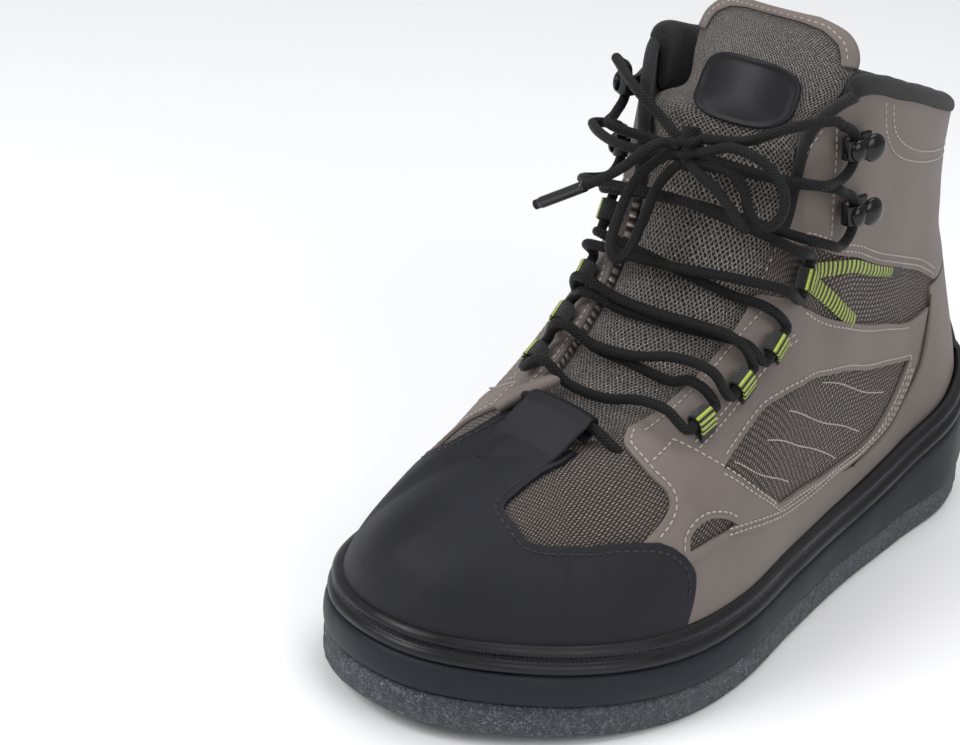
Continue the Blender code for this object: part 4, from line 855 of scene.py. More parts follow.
# ---- Taupe overlays
# Quarters with eyestay and windows, the panel round the heel and the one round the ankle: smooth
# taupe skins with a fine nap, cut to shape, laid over the mesh and sewn down near their edges.
grain_group = tree = group("fine_grain", ("Scale",), ("Height", "Cloud"))
given = node(tree, "NodeGroupInput").outputs
spot = node(tree, "ShaderNodeTexCoord").outputs["Object"]
nap = node(tree, "ShaderNodeTexNoise",
           {"Vector": spot, "Scale": given["Scale"], "Detail": 4.0, "Roughness": 0.6}).outputs["Fac"]
cells = node(tree, "ShaderNodeTexVoronoi", {"Vector": spot, "Scale": 1300.0}).outputs["Distance"]
cloud = node(tree, "ShaderNodeTexNoise",
             {"Vector": spot, "Scale": 28.0, "Detail": 5.0, "Roughness": 0.6}).outputs["Fac"]
node(tree, "NodeGroupOutput", {"Height": calc(tree, "ADD", nap, calc(tree, "MULTIPLY", cells, 0.5)),
                               "Cloud": cloud})


def skin_finish(name, dark, light, rough_low, rough_high, scale, deep, sheen=0.0, specular=0.4):
    material, tree, shader = finish(name, 0.6, sheen=sheen, specular=specular)
    grain = node(tree, "ShaderNodeGroup", {}, node_tree=grain_group)
    grain.inputs["Scale"].default_value = scale
    tree.links.new(mixed(tree, ramp(tree, grain.outputs["Cloud"], 0.3, 0.7), dark, light),
                   shader.inputs["Base Color"])
    tree.links.new(ramp(tree, grain.outputs["Cloud"], 0.3, 0.7, rough_low, rough_high),
                   shader.inputs["Roughness"])
    relief(tree, shader, grain.outputs["Height"], deep)
    return material


taupe = skin_finish("taupe_skin", rgb(0.140, 0.116, 0.103), rgb(0.170, 0.142, 0.127), 0.56, 0.70, 900.0,
                    0.00010, sheen=0.06, specular=0.35)
CELL = (330.0, 92.0)


def inside(points, loops):
    """Even-odd test of chart points against closed loops."""
    hit = np.zeros(len(points), bool)
    for loop in loops:
        a = loop
        b = np.roll(loop, -1, axis=0)
        for (x0, y0), (x1, y1) in zip(a, b):
            if y0 == y1:
                continue
            cross = ((y0 > points[:, 1]) != (y1 > points[:, 1]))
            hit ^= cross & (points[:, 0] < x0 + (points[:, 1] - y0) * (x1 - x0) / (y1 - y0))
    return hit


def to_loop(p, loops):
    """Nearest point on any of the loops, in the chart's millimetres."""
    best = None
    for loop in loops:
        a = loop * CELL
        b = np.roll(loop, -1, axis=0) * CELL
        d = b - a
        t = np.clip(((p - a) * d).sum(1) / np.maximum((d * d).sum(1), 1e-9), 0, 1)
        q = a + d * t[:, None]
        far = ((q - p) ** 2).sum(1)
        k = int(np.argmin(far))
        if best is None or far[k] < best[0]:
            best = (far[k], q[k])
    return best[1]


def panel(name, edge_points, material, slot_name, nodes, holes=(), toe=False, low=0.08, thick=1.15,
          cell=1.25, round_edge=0.42):
    """Skin cut from a fine grid to an outline, drawn down along the seams and given its thickness."""
    loops = [smooth(edge_points)] + [smooth(h) for h in holes]
    corners = [np.array(q[:2]) for pts in (edge_points,) + tuple(holes) for q in pts if len(q) > 2]
    lo = loops[0].min(0)
    hi = loops[0].max(0)
    if lo[0] < 0 < hi[0]:
        lo[0], hi[0] = -max(-lo[0], hi[0]), max(-lo[0], hi[0])
    nx = int((hi[0] - lo[0]) * CELL[0] / cell) // 2 * 2 + 2
    ny = int((hi[1] - lo[1]) * CELL[1] / cell) + 1
    bm = bmesh.new()
    bmesh.ops.create_grid(bm, x_segments=nx, y_segments=ny, size=0.5)
    middle = (lo + hi) / 2
    for v in bm.verts:
        v.co.x = v.co.x * (hi[0] - lo[0]) + middle[0]
        v.co.y = v.co.y * (hi[1] - lo[1]) + middle[1]
    faces = list(bm.faces)
    centres = np.array([f.calc_center_median()[:2] for f in faces])
    keep = inside(centres, loops)
    bmesh.ops.delete(bm, geom=[f for f, k in zip(faces, keep) if not k], context="FACES")
    rim = [v for v in bm.verts if v.is_boundary]
    for v in rim:
        q = to_loop(np.array([v.co.x * CELL[0], v.co.y * CELL[1]]), loops)
        v.co.x = q[0] / CELL[0]
        v.co.y = q[1] / CELL[1]
    for c in corners:
        v = min(rim, key=lambda w: ((w.co.x - c[0]) * CELL[0]) ** 2 + ((w.co.y - c[1]) * CELL[1]) ** 2)
        v.co.x = c[0]
        v.co.y = c[1]
    edge_ring = set(rim)
    near = [v for v in bm.verts
            if v not in edge_ring and any(e.other_vert(v) in edge_ring for e in v.link_edges)]
    for turn in range(3):
        bmesh.ops.smooth_vert(bm, verts=near, factor=0.5, use_axis_x=True, use_axis_y=True)
    bmesh.ops.dissolve_degenerate(bm, dist=2e-5, edges=bm.edges[:])
    g = np.array([v.co.x for v in bm.verts])
    h = np.array([v.co.y for v in bm.verts])
    rest = chart(g, h, np.full(len(g), low + thick), toe)
    sink = pulled(rest)
    spots = chart(g, h, low - sink, toe) * MM
    crest = (h > 1 - 1e-5) & (abs(g) < 0.2001) & toe
    if crest.any():
        spots[crest] = (spots[crest] + chart(-g[crest], h[crest], (low - sink)[crest], toe) * MM) / 2
    for v, p in zip(bm.verts, spots):
        v.co = p
    ridge = [v for v, a, b in zip(bm.verts, g, h) if toe and abs(a) < 0.2 and b > 0.86]
    bmesh.ops.remove_doubles(bm, verts=bm.verts, dist=(0.12 if toe else 0.05) * MM)
    ridge = [v for v in ridge if v.is_valid and not v.is_boundary]
    for turn in range(10 if toe else 0):
        bmesh.ops.smooth_vert(bm, verts=ridge, factor=0.5, use_axis_x=True, use_axis_y=True,
                              use_axis_z=True)
    way = chart(g[:1], h[:1], np.array([5.0]), toe)[0] - chart(g[:1], h[:1], np.array([0.0]), toe)[0]
    bm.normal_update()
    bm.verts.ensure_lookup_table()
    if bm.verts[0].normal.dot(Vector(way)) < 0:
        bmesh.ops.reverse_faces(bm, faces=bm.faces)
    thing = piece(name, bm, material, slot_name, *nodes)
    walled(thing, thick, 1.0, round_edge, 2, 55.0)


def height_share(g, high, toe=False):
    """Share v at which the upper stands a given height over the sole."""
    side = -1.0 if g < 0 else 1.0
    u = 1 - abs(g) if toe else abs(g)
    v = np.linspace(0, 0.4, 61)
    z = upper(np.full(61, side), np.full(61, u), v)[:, 2]
    return float(np.interp(high, z - z[0], v))


def hem(a, b, toe=False, high=RAND_HIGH - 1.2):
    """Points along the top of the rand from one signed station to another."""
    count = int(abs(b - a) / 0.02) + 2
    return [(float(g), height_share(g, high, toe)) for g in np.linspace(a, b, count)]


def cornered(points):
    """The same points with a corner at each end."""
    points = list(points)
    points[0] = tuple(points[0][:2]) + (1,)
    points[-1] = tuple(points[-1][:2]) + (1,)
    return points


quarter = QUARTER_FRONT + QUARTER_LOW + NOTCH_LOW
panel("quarter_skin_outer", quarter, taupe, "taupe_skin", ("quarter_outer",), (WINDOW, SMALL_WINDOW),
      low=0.3)
panel("quarter_skin_inner",
      flipped(QUARTER_FRONT[:-2] + ((0.728, 0.455, 1), (0.705, 0.345, 1)) + QUARTER_LOW_IN + NOTCH_LOW),
      taupe, "taupe_skin", ("quarter_inner",), (flipped(WINDOW_IN),), low=0.3)
heel_loop = (list(HEEL_FRONT[:-1]) + list(LOW_STRIP) + cornered(hem(0.704, -0.684))
             + list(flipped(((0.682, 0.345, 1), (0.580, 0.335), (0.500, 0.318),
                             (0.420, 0.300)) + HEEL_FRONT_IN[4::-1])))
panel("heel_skin", heel_loop, taupe, "taupe_skin", ("heel_panel",), low=0.05, thick=1.0)
panel("shaft_skin", [(-0.57, 1, 1)] + list(flipped(NOTCH_TOP[:-1]))[::-1] + list(NOTCH_TOP), taupe,
      "taupe_skin", ("shaft_panel",), low=0.05, thick=1.0)

# ---- Toe cap
# Thick dark rubbery skin over the toes with a tongue that runs up the vamp to the laces. A row of
# black stitches holds its edge, and its foot is under the rand.
cap_skin = skin_finish("cap_skin", rgb(0.0080, 0.0082, 0.0125), rgb(0.0115, 0.0118, 0.0170), 0.56, 0.68,
                       1200.0, 0.00006, specular=0.26)
cap_loop = (cornered(hem(0.31, -0.34, True)) + list(CAP_EDGE_IN) + [(0.2, 1, 1)] + list(CAP_EDGE[::-1]))
panel("toe_cap_skin", cap_loop, cap_skin, "cap_skin", ("toe_cap",), toe=True, thick=1.7, low=0.1, cell=1.2,
      round_edge=0.6)

# ---- Heel counter
# Black moulded backstay over the taupe heel, standing on the rand and rising to a low point behind.
COUNTER = ((0.155, 0.13, 1), (0.125, 0.19), (0.075, 0.33), (0.04, 0.45), (0.0, 0.50))
counter_skin = skin_finish("counter_skin", rgb(0.006, 0.006, 0.008), rgb(0.012, 0.012, 0.015), 0.42, 0.55,
                           1400.0, 0.00005, specular=0.4)
panel("heel_counter_skin",
      list(COUNTER) + list(flipped(COUNTER[:-1]))[::-1] + cornered(hem(-0.155, 0.155))[1:-1], counter_skin,
      "cap_skin", ("heel_counter",), low=1.3, thick=1.3)


def tube(name, path, radius, material, slot_name, nodes=(), sides=10, flat=1.0):
    """Round or flattened bar along a path in mm, closed at its ends; UV in mm round and along."""
    bm = pipe(path, radius, sides, flat)
    return piece(name, bm, material, slot_name, *nodes)


def pipe(path, radius, sides=10, flat=1.0):
    path = np.array(path, float)
    ahead = np.gradient(path, axis=0)
    ahead /= np.linalg.norm(ahead, axis=1, keepdims=True)
    a = np.cross(ahead[0], (0.0, 0.3, 1.0))
    first = []
    second = []
    for d in ahead:
        a = a - d * (a @ d)
        a = a / np.linalg.norm(a)
        first.append(a)
        second.append(np.cross(d, a))
    first = np.array(first)
    second = np.array(second)
    run = np.concatenate([[0.0], np.cumsum(np.linalg.norm(np.diff(path, axis=0), axis=1))])
    size = np.array([radius(t) if callable(radius) else radius for t in run / run[-1]])
    last = len(path) - 1

    def where(x, y):
        k = np.clip((y * last).round().astype(int), 0, last)
        t = x * 2 * np.pi
        return (path[k] + first[k] * (np.cos(t) * size[k])[:, None]
                + second[k] * (np.sin(t) * size[k] * flat)[:, None])
    bm = mapped(sides, last, where, 0.004)
    scaled_uv(bm, 2 * math.pi * float(size.mean()), run[-1])
    bmesh.ops.holes_fill(bm, edges=[e for e in bm.edges if e.is_boundary], sides=0)
    bmesh.ops.recalc_face_normals(bm, faces=bm.faces)
    return bm


def through_points(points, step=1.2):
    """Smooth path through given points in mm, at an even step."""
    p = np.array(points, float)
    t = np.zeros_like(p)
    t[1:-1] = (p[2:] - p[:-2]) / 2
    t[0] = p[1] - p[0]
    t[-1] = p[-1] - p[-2]
    path = []
    for i in range(len(p) - 1):
        size = np.linalg.norm(p[i + 1] - p[i])
        a = t[i] / max(np.linalg.norm(t[i]), 1e-9) * size
        b = t[i + 1] / max(np.linalg.norm(t[i + 1]), 1e-9) * size
        for k in np.linspace(0, 1, 16, endpoint=False):
            path.append((2 * k**3 - 3 * k**2 + 1) * p[i] + (k**3 - 2 * k**2 + k) * a
                        + (3 * k**2 - 2 * k**3) * p[i + 1] + (k**3 - k**2) * b)
    path.append(p[-1])
    path = np.array(path)
    run = np.concatenate([[0.0], np.cumsum(np.linalg.norm(np.diff(path, axis=0), axis=1))])
    at = np.linspace(0, run[-1], max(int(run[-1] / step), 4) + 1)
    return np.stack([np.interp(at, run, path[:, c]) for c in range(3)], -1)


# ---- Piping
# Thin corded bead caught in the seam between quarter and heel panel, one on each side; it swings
# forward from the ankle notch and runs out along the bottom of the window.
BEAD = ((0.287, 0.500), (0.297, 0.395), (0.313, 0.290), (0.337, 0.222), (0.369, 0.158), (0.400, 0.138),
        (0.432, 0.130))
BEAD_IN = ((0.287, 0.500), (0.296, 0.430), (0.304, 0.395), (0.327, 0.338), (0.363, 0.296), (0.420, 0.279))
for word, line in (("outer", BEAD), ("inner", flipped(BEAD_IN))):
    line = smooth(line, 10, False)
    path = chart(line[:, 0], line[:, 1], np.full(len(line), 1.8))
    tube("piping_bead_" + word, path, lambda t: 1.05 * min(1.0, 0.35 + 4 * t, 0.35 + 4 * (1 - t)), taupe,
         "taupe_skin", ("piping_" + word,))

# ---- Heel pull
# Black webbing tab sewn flat on the back of the ankle.
webbing_group = tree = group("ribbed_webbing", ("Pitch",))
given = node(tree, "NodeGroupInput").outputs
split = node(tree, "ShaderNodeSeparateXYZ", {0: node(tree, "ShaderNodeTexCoord").outputs["UV"]})
turn = calc(tree, "DIVIDE", 2 * math.pi, given["Pitch"])
warp = calc(tree, "SINE", calc(tree, "MULTIPLY", split.outputs["X"], turn))
weft = calc(tree, "SINE", calc(tree, "MULTIPLY", split.outputs["Y"], turn))
node(tree, "NodeGroupOutput", {"Height": calc(tree, "MAXIMUM", warp, weft)})


def webbing_finish(name, start=None, end=None, pitch=1.9):
    """Black webbing; yellow-green bars cross it between two lengths along its UV in mm."""
    material, tree, shader = finish(name, 0.75, sheen=0.2, specular=0.25)
    weave = node(tree, "ShaderNodeGroup", {}, node_tree=webbing_group)
    weave.inputs["Pitch"].default_value = 0.7
    # painted shade: the black is darker in the grooves of the weave and lighter on its ribs
    black = mixed(tree, ramp(tree, weave.outputs["Height"], 0.0, 1.0), rgb(0.004, 0.004, 0.005),
                  rgb(0.013, 0.013, 0.015))
    if start is not None:
        along = node(tree, "ShaderNodeSeparateXYZ",
                     {0: node(tree, "ShaderNodeTexCoord").outputs["UV"]}).outputs["X"]
        bars = calc(tree, "PINGPONG", calc(tree, "DIVIDE", calc(tree, "SUBTRACT", along, start), pitch),
                    0.5)
        bars = ramp(tree, bars, 0.20, 0.28)
        bars = calc(tree, "MULTIPLY", bars, ramp(tree, along, start - 0.05, start + 0.05))
        bars = calc(tree, "MULTIPLY", bars, ramp(tree, along, end + 0.05, end - 0.05))
        # painted shade: the bars are darker lime in the grooves of the weave and lighter on its ribs
        lime = mixed(tree, ramp(tree, weave.outputs["Height"], 0.0, 1.0), rgb(0.33, 0.42, 0.04),
                     rgb(0.58, 0.70, 0.10))
        black = mixed(tree, bars, black, lime)
    tree.links.new(black, shader.inputs["Base Color"])
    relief(tree, shader, weave.outputs["Height"], 0.00025)
    return material


plain_webbing = webbing_finish("plain_webbing")


def ribbon(name, line, half, out, thick, material, slot_name, nodes, taper=1.0):
    """Strip of webbing on the upper along a chart line; UV x runs along it in mm."""
    left = aside(line, half)
    right = aside(line, -half)
    share = np.linspace(0, 1, len(line))[:, None]
    left = line + (left - line) * (1 + (taper - 1) * share)
    right = line + (right - line) * (1 + (taper - 1) * share)
    last = len(line) - 1
    path = chart(line[:, 0], line[:, 1], np.full(len(line), out))
    run = np.concatenate([[0.0], np.cumsum(np.linalg.norm(np.diff(path, axis=0), axis=1))])

    def where(x, y):
        at = x * last
        k = np.clip(np.floor(at).astype(int), 0, last - 1)
        t = (at - k)[:, None]
        a = left[k] * (1 - t) + left[k + 1] * t
        b = right[k] * (1 - t) + right[k + 1] * t
        p = b * (1 - y[:, None]) + a * y[:, None]
        lift = out + 0.3 * np.sin(np.pi * y)
        return chart(p[:, 0], p[:, 1], lift)
    bm = mapped(last * 2, 8, where)
    scaled_uv(bm, run[-1], 2 * half)
    thing = piece(name, bm, material, slot_name, *nodes)
    flip_out(thing, chart(line[:1, 0], line[:1, 1], np.array([out + 5.0]))[0])
    walled(thing, thick, 1.0, 0.25)


def flip_out(thing, spot):
    """Turns the faces of an open sheet towards a point in mm outside it."""
    mesh = thing.data
    bm = bmesh.new()
    bm.from_mesh(mesh)
    face = min(bm.faces, key=lambda f: (f.calc_center_median() - Vector(spot) * MM).length)
    if face.normal.dot(Vector(spot) * MM - face.calc_center_median()) < 0:
        bmesh.ops.reverse_faces(bm, faces=bm.faces)
    bm.to_mesh(mesh)
    bm.free()


ribbon("heel_tab", smooth(((0.0, 0.63), (0.0, 0.70), (0.0, 0.785)), 8, False), 7.5, 1.3, 1.2, plain_webbing,
       "webbing", ("heel_pull",))

# ---- Collar cuff
# Black cloth over foam, rolled over the top edge of the boot and quilted down inside it; a narrower
# binding of the same cloth runs down the front edges of both ankle flaps.
cuff_cloth = mesh_cloth("cuff_cloth", 0.9, 0.0, rgb(0.004, 0.004, 0.005), rgb(0.012, 0.012, 0.014),
                        rgb(0.022, 0.022, 0.026), 0.0003)


def cuff_ring(side, u):
    """Points round the cuff's section at one station."""
    side = np.array([side])
    a = np.array([u])
    one = np.array([1.0])
    top = upper(side, a, one)[0]
    n = facing(side, a, one)[0]
    d = top - upper(side, a, np.array([0.98]))[0]
    rise = np.linalg.norm(d) / 0.02
    d = d / np.linalg.norm(d)
    pad = float(np.interp(u, (0.0, 0.33, 0.468), (6.8, 6.2, 2.2)))
    deep = float(np.interp(u, (0.0, 0.33, 0.468), (34.0, 34.0, 16.0)))
    soft = 1.0 + 0.05 * math.sin(side[0] * u * 61.0) + 0.04 * math.sin(side[0] * u * 137.0 + 1.0)
    ring = [top + n * 1.6 - d * 0.6, top + n * 2.1 + d * 2.4, top + n * 0.9 + d * 5.4,
            top - n * (pad / 2 + 1.2) + d * 6.9 * soft, top - n * (pad + 1.8) + d * 4.6,
            top - n * (pad + 3.4) * soft + d * 0.4]
    for back, out in ((0.35, 1.0), (0.75, 0.75), (1.0, 0.25)):
        v = np.array([1 - deep * back / rise])
        ring.append(skin(side, a, v, np.array([-WALL - 0.9 - pad * out * soft]))[0])
    for back in (1.0, 0.65, 0.3):
        v = np.array([1 - deep * back / rise])
        ring.append(skin(side, a, v, np.array([-WALL - 0.6]))[0])
    ring.append(top - n * (WALL + 0.6) + d * 0.5)
    return np.array(ring)


stations = np.concatenate([np.linspace(0.468, 0.0, 41), -np.linspace(0.0, 0.468, 41)[1:]])
rings = np.array([cuff_ring(1.0 if s >= 0 else -1.0, abs(s)) for s in stations])
count = rings.shape[1]


def cuff_where(x, y):
    k = np.mod((x * count).round().astype(int), count)
    j = (y * (len(rings) - 1)).round().astype(int)
    return rings[j, k]


bm = mapped(count, len(rings) - 1, cuff_where)
scaled_uv(bm, 80.0, 330.0)
bmesh.ops.holes_fill(bm, edges=[e for e in bm.edges if e.is_boundary], sides=0)
bmesh.ops.recalc_face_normals(bm, faces=bm.faces)
thing = piece("collar_pad", bm, cuff_cloth, "cuff_cloth", "collar_cuff")
soft = thing.modifiers.new("soft", "SUBSURF")
soft.levels = soft.render_levels = 2
for word, side in (("outer", 1.0), ("inner", -1.0)):
    u = np.linspace(0.462, 0.566, 30)
    path = skin(np.full(30, side), u, np.full(30, 1.0), np.full(30, -0.6))
    tube("flap_binding_" + word, path, 2.1, cuff_cloth, "cuff_cloth", sides=12)

# ---- Tongue
# Padded tongue of an open diamond knit, arched under the laces and standing above the collar, with
# a taupe trim folded over its edge and sewn, and a bare moulded patch on its face.
TONGUE_TOP = (
    (COLLAR_FRONT - 6, SHAFT_FRONT + 4.0, 25.0, 10.0, 5.5),
    (COLLAR_FRONT + 4, SHAFT_FRONT + 9.5, 27.5, 12.0, 5.5),
    (COLLAR_FRONT + 12, SHAFT_FRONT + 14.5, 28.5, 12.0, 5.0),
    (COLLAR_FRONT + 18, SHAFT_FRONT + 19.0, 23.5, 9.0, 4.6),
    (COLLAR_FRONT + 20.5, SHAFT_FRONT + 21.0, 14.5, 4.5, 4.2),
)
TONGUE_ROWS = (
    (0.775, 3.1, 6.0), (0.750, 3.1, 8.0), (0.720, 3.1, 10.0), (0.685, 3.2, 11.0), (0.650, 3.2, 11.0),
    (0.615, 3.3, 11.0), (0.580, 3.4, 10.0), (0.545, 3.6, 8.0), (0.515, 4.2, 6.0),
)
ARCH = 0.62
TONGUE_PAD = 4.4
near_net = {}


def nearest(side, point):
    """Station and share of the upper's point closest to a point."""
    if side not in near_net:
        u, v = np.meshgrid(np.linspace(0.3, 0.85, 166), np.linspace(0.5, 1, 91), indexing="ij")
        near_net[side] = (u, v, upper(side + 0 * u, u, v))
    u, v, p = near_net[side]
    k = np.unravel_index(np.argmin(((p - point) ** 2).sum(-1)), u.shape)
    return u[k], v[k]


def tongue_net():
    """Outer face of the tongue as rows of points from the inner to the outer side."""
    net = []
    for u, deep, reach in TONGUE_ROWS:
        ends = {}
        for s in (1, -1):
            e = upper(np.array([s]), np.array([u]), np.array([1.0]))[0]
            n = facing(np.array([s]), np.array([u]), np.array([1.0]))[0]
            over = np.array([-s, 0, 0]) + n * n[0] * s
            over = over / np.linalg.norm(over)
            hidden = []
            for k in (1.0, 0.5):
                a, b = nearest(s, e - over * reach * k)
                nn = facing(np.array([s]), np.array([a]), np.array([b]))[0]
                hidden.append(upper(np.array([s]), np.array([a]), np.array([b]))[0] - nn * deep)
            ends[s] = (hidden, e - n * deep, over)
        a, b = ends[-1][1], ends[1][1]
        span = np.linalg.norm(b - a) * ARCH
        mid = []
        for k in (0.2, 0.4, 0.6, 0.8):
            mid.append((2 * k**3 - 3 * k**2 + 1) * a + (k**3 - 2 * k**2 + k) * span * ends[-1][2]
                       + (3 * k**2 - 2 * k**3) * b - (k**3 - k**2) * span * ends[1][2])
        net.append(ends[-1][0] + [a] + mid + [b] + ends[1][0][::-1])
    for z, y, half, wrap, _ in TONGUE_TOP:
        k = np.linspace(-1, 1, 10)
        net.append(list(np.stack([2.6 + half * k, y + wrap * k * k, z - 0.25 * wrap * k * k], -1)))
    return np.array(net)


NET = tongue_net()


def blend_net(q, a):
    """Smooth point of the net at row q and column a."""
    def weights(x, n):
        i = np.clip(np.floor(x).astype(int), 0, n - 2)
        t = x - i
        return ([np.clip(i + k, 0, n - 1) for k in (-1, 0, 1, 2)],
                [(-t + 2 * t * t - t**3) / 2, (2 - 5 * t * t + 3 * t**3) / 2,
                 (t + 4 * t * t - 3 * t**3) / 2, (t**3 - t * t) / 2])
    iq, wq = weights(q, NET.shape[0])
    ia, wa = weights(a, NET.shape[1])
    out = 0
    for j in range(4):
        for k in range(4):
            out = out + NET[iq[j], ia[k]] * (wq[j] * wa[k])[..., None]
    return out


def tongue_at(q, a, out):
    """Point over the tongue's outer face; q row, a column of the net."""
    e = 0.02
    last = NET.shape[0] - 1
    wide = NET.shape[1] - 1
    qc = np.clip(q, e, last - e)
    ac = np.clip(a, e, wide - e)
    n = np.cross(blend_net(qc, ac + e) - blend_net(qc, ac - e),
                 blend_net(qc + e, ac) - blend_net(qc - e, ac))
    n = n / np.linalg.norm(n, axis=-1, keepdims=True)
    puff = 0.9 * np.exp(-((q - 8.2) / 0.7) ** 2
                        - ((a - 4.5) / 2.6) ** 2) - 0.5 * np.exp(-((q - 10.9) / 0.35) ** 2)
    puff = puff - 0.6 * np.exp(-((q - 7.3) / 0.3) ** 2)
    return blend_net(q, a) + n * (np.asarray(out, float) + puff)[..., None]


tongue_knit = mesh_cloth("tongue_knit", 1.3, 0.9, rgb(0.010, 0.009, 0.008), rgb(0.250, 0.215, 0.190),
                         rgb(0.78, 0.72, 0.66), 0.0009, diamond_group)
bm = mapped(72, 130, lambda x, y: tongue_at(y * 13, x * 9, 0 * x), 0)
scaled_uv(bm, 78.0, 140.0)
thing = piece("tongue_pad", bm, tongue_knit, "knit", "tongue")
flip_out(thing, tongue_at(np.array([9.0]), np.array([4.5]), np.array([9.0]))[0])
walled(thing, TONGUE_PAD, -1.0, 1.6, 3, 50.0)


# column and row of the tongue's net along the trim's inner line and along the tongue's edge
TRIM_IN = ((0.62, 10.7), (0.78, 11.5), (1.3, 12.0), (2.4, 12.3), (4.5, 12.4), (6.6, 12.3), (7.7, 12.0),
           (8.22, 11.5), (8.38, 10.7))
TRIM_OUT = ((-0.06, 10.7), (-0.06, 11.9), (-0.06, 13.08), (2.2, 13.08), (4.5, 13.08), (6.8, 13.08),
            (9.06, 13.08), (9.06, 11.9), (9.06, 10.7))


def trim_at(x, share, out):
    """Point of the trim, x round the tongue's edge, share from the inner line to the edge."""
    a, q = [np.interp(x * 8, range(9), column(TRIM_IN, c)) * (1 - share)
            + np.interp(x * 8, range(9), column(TRIM_OUT, c)) * share for c in (0, 1)]
    return tongue_at(q, a, out)


def trim_where(x, y):
    """Up the face to the edge, over the edge and a little down the back."""
    face = np.clip(y / 0.5, 0, 1)
    back = np.clip((y - 0.5) / 0.25, 0, 1)
    down = np.clip((y - 0.75) / 0.25, 0, 1)
    return trim_at(x, face - 0.6 * down, 0.15 + 0.5 * np.sin(np.pi * face) - 5.0 * back)


bm = mapped(72, 28, trim_where)
scaled_uv(bm, 50.0, 24.0)
thing = piece("tongue_edge_trim", bm, taupe, "taupe_skin", "tongue_trim")
flip_out(thing, tongue_at(np.array([12.0]), np.array([4.5]), np.array([9.0]))[0])
walled(thing, 0.9)

way = np.linspace(0.03, 0.97, 60)
rows.append((trim_at(way, 0.26, 1.4 + 0 * way), trim_at(way, 0.26, 2.4 + 0 * way), "trim"))
sewn("stitches_trim", ("trim",), 2.3, 1.8, 0.32, pale_thread)

patch_rubber = skin_finish("patch_rubber", rgb(0.005, 0.005, 0.007), rgb(0.008, 0.008, 0.011), 0.42, 0.52,
                           1500.0, 0.00004, specular=0.25)
PATCH_RISE = (0.9, 0.9, 0.9, 0.95, 1.0, 1.1, 1.45, 1.6, 1.55, 1.2, 0.1)
PATCH_REACH = (0.0, 0.25, 0.5, 0.7, 0.80, 0.85, 0.89, 0.93, 0.97, 1.0, 1.0)


PATCH_HALF = (17.2, 11.2)
PATCH_SHIFT = 3.0
PATCH_MIDDLE = 13.6
tongue_rows = np.linspace(8.0, 12.0, 81)
up_tongue = blend_net(tongue_rows, np.full(81, 4.5))
up_tongue = np.concatenate([[0.0], np.cumsum(np.linalg.norm(np.diff(up_tongue, axis=0), axis=1))])


def patch_where(x, y):
    k = (y * 10).round().astype(int)
    r = np.array(PATCH_REACH)[k]
    t = x * 2 * np.pi
    c = np.sign(np.cos(t)) * abs(np.cos(t)) ** (2 / 3.2)
    s = np.sign(np.sin(t)) * abs(np.sin(t)) ** (2 / 3.2)
    q = np.interp(PATCH_MIDDLE + PATCH_HALF[1] * r * s, up_tongue, tongue_rows)
    across = PATCH_SHIFT + PATCH_HALF[0] * r * c
    columns = np.linspace(0, 9, 91)
    reach = blend_net(np.repeat(q, 91), np.tile(columns, len(q))).reshape(-1, 91, 3)[:, :, 0]
    a = np.array([np.interp(want, have, columns) for want, have in zip(across, reach)])
    return tongue_at(q, a, np.array(PATCH_RISE)[k] + 0.5)


bm = mapped(72, 10, patch_where)
bmesh.ops.recalc_face_normals(bm, faces=bm.faces)
thing = piece("tongue_patch_rubber", bm, patch_rubber, "patch", "tongue_patch")
flip_out(thing, tongue_at(np.array([9.75]), np.array([4.7]), np.array([12.0]))[0])

# ---- Lace keeper
# The upper end of the toe cap's skin, turned over into a flat tunnel at the foot of the throat; the
# lowest bar of the lace runs through it.
KEEPER = ((-211.0, 73.6), (-206.5, 76.9), (-202.5, 79.2), (-199.6, 82.2), (-197.0, 86.0), (-194.6, 89.0),
          (-191.2, 90.4), (-188.0, 89.4), (-186.8, 87.2), (-188.6, 84.8), (-193.0, 82.6))


def keeper_where(x, y):
    k = y * (len(KEEPER) - 1)
    py = np.interp(k, range(len(KEEPER)), column(KEEPER, 0))
    pz = np.interp(k, range(len(KEEPER)), column(KEEPER, 1))
    half = np.interp(k, (0.0, 2.0, 5.0, 10.0), (10.5, 12.6, 12.4, 12.0))
    middle = np.interp(k, (0.0, 2.0, 5.0, 10.0), (-12.0, -10.2, -4.5, -5.0))
    across = (2 * x - 1) * half
    return np.stack([middle + across, py - across * 0.10, pz - across ** 2 / 160.0 - across * 0.055
                     - 0.25 * np.clip(2.5 - k, 0, 1) * np.maximum(-across - 5.0, 0)], -1)


bm = mapped(24, 60, keeper_where)
scaled_uv(bm, 25.0, 45.0)
thing = piece("keeper_fold", bm, cap_skin, "cap_skin", "lace_keeper")
flip_out(thing, (-9.0, -205.0, 110.0))
walled(thing, 1.2, 0.0)
soft = thing.modifiers.new("soft", "SUBSURF")
soft.levels = soft.render_levels = 1

# the inner eyestay's lower end, rolled over into a tunnel for the same bar of the lace
roll = through_points(((-27.5, -193.0, 81.6), (-25.0, -190.2, 84.2), (-20.6, -184.4, 87.4),
                       (-17.0, -178.6, 89.6), (-15.6, -175.6, 90.4)), 0.8)
tube("eyestay_roll_inner", roll, lambda t: 3.1 - 0.9 * abs(2 * t - 1) ** 4, taupe, "taupe_skin", sides=20,
     flat=0.8)

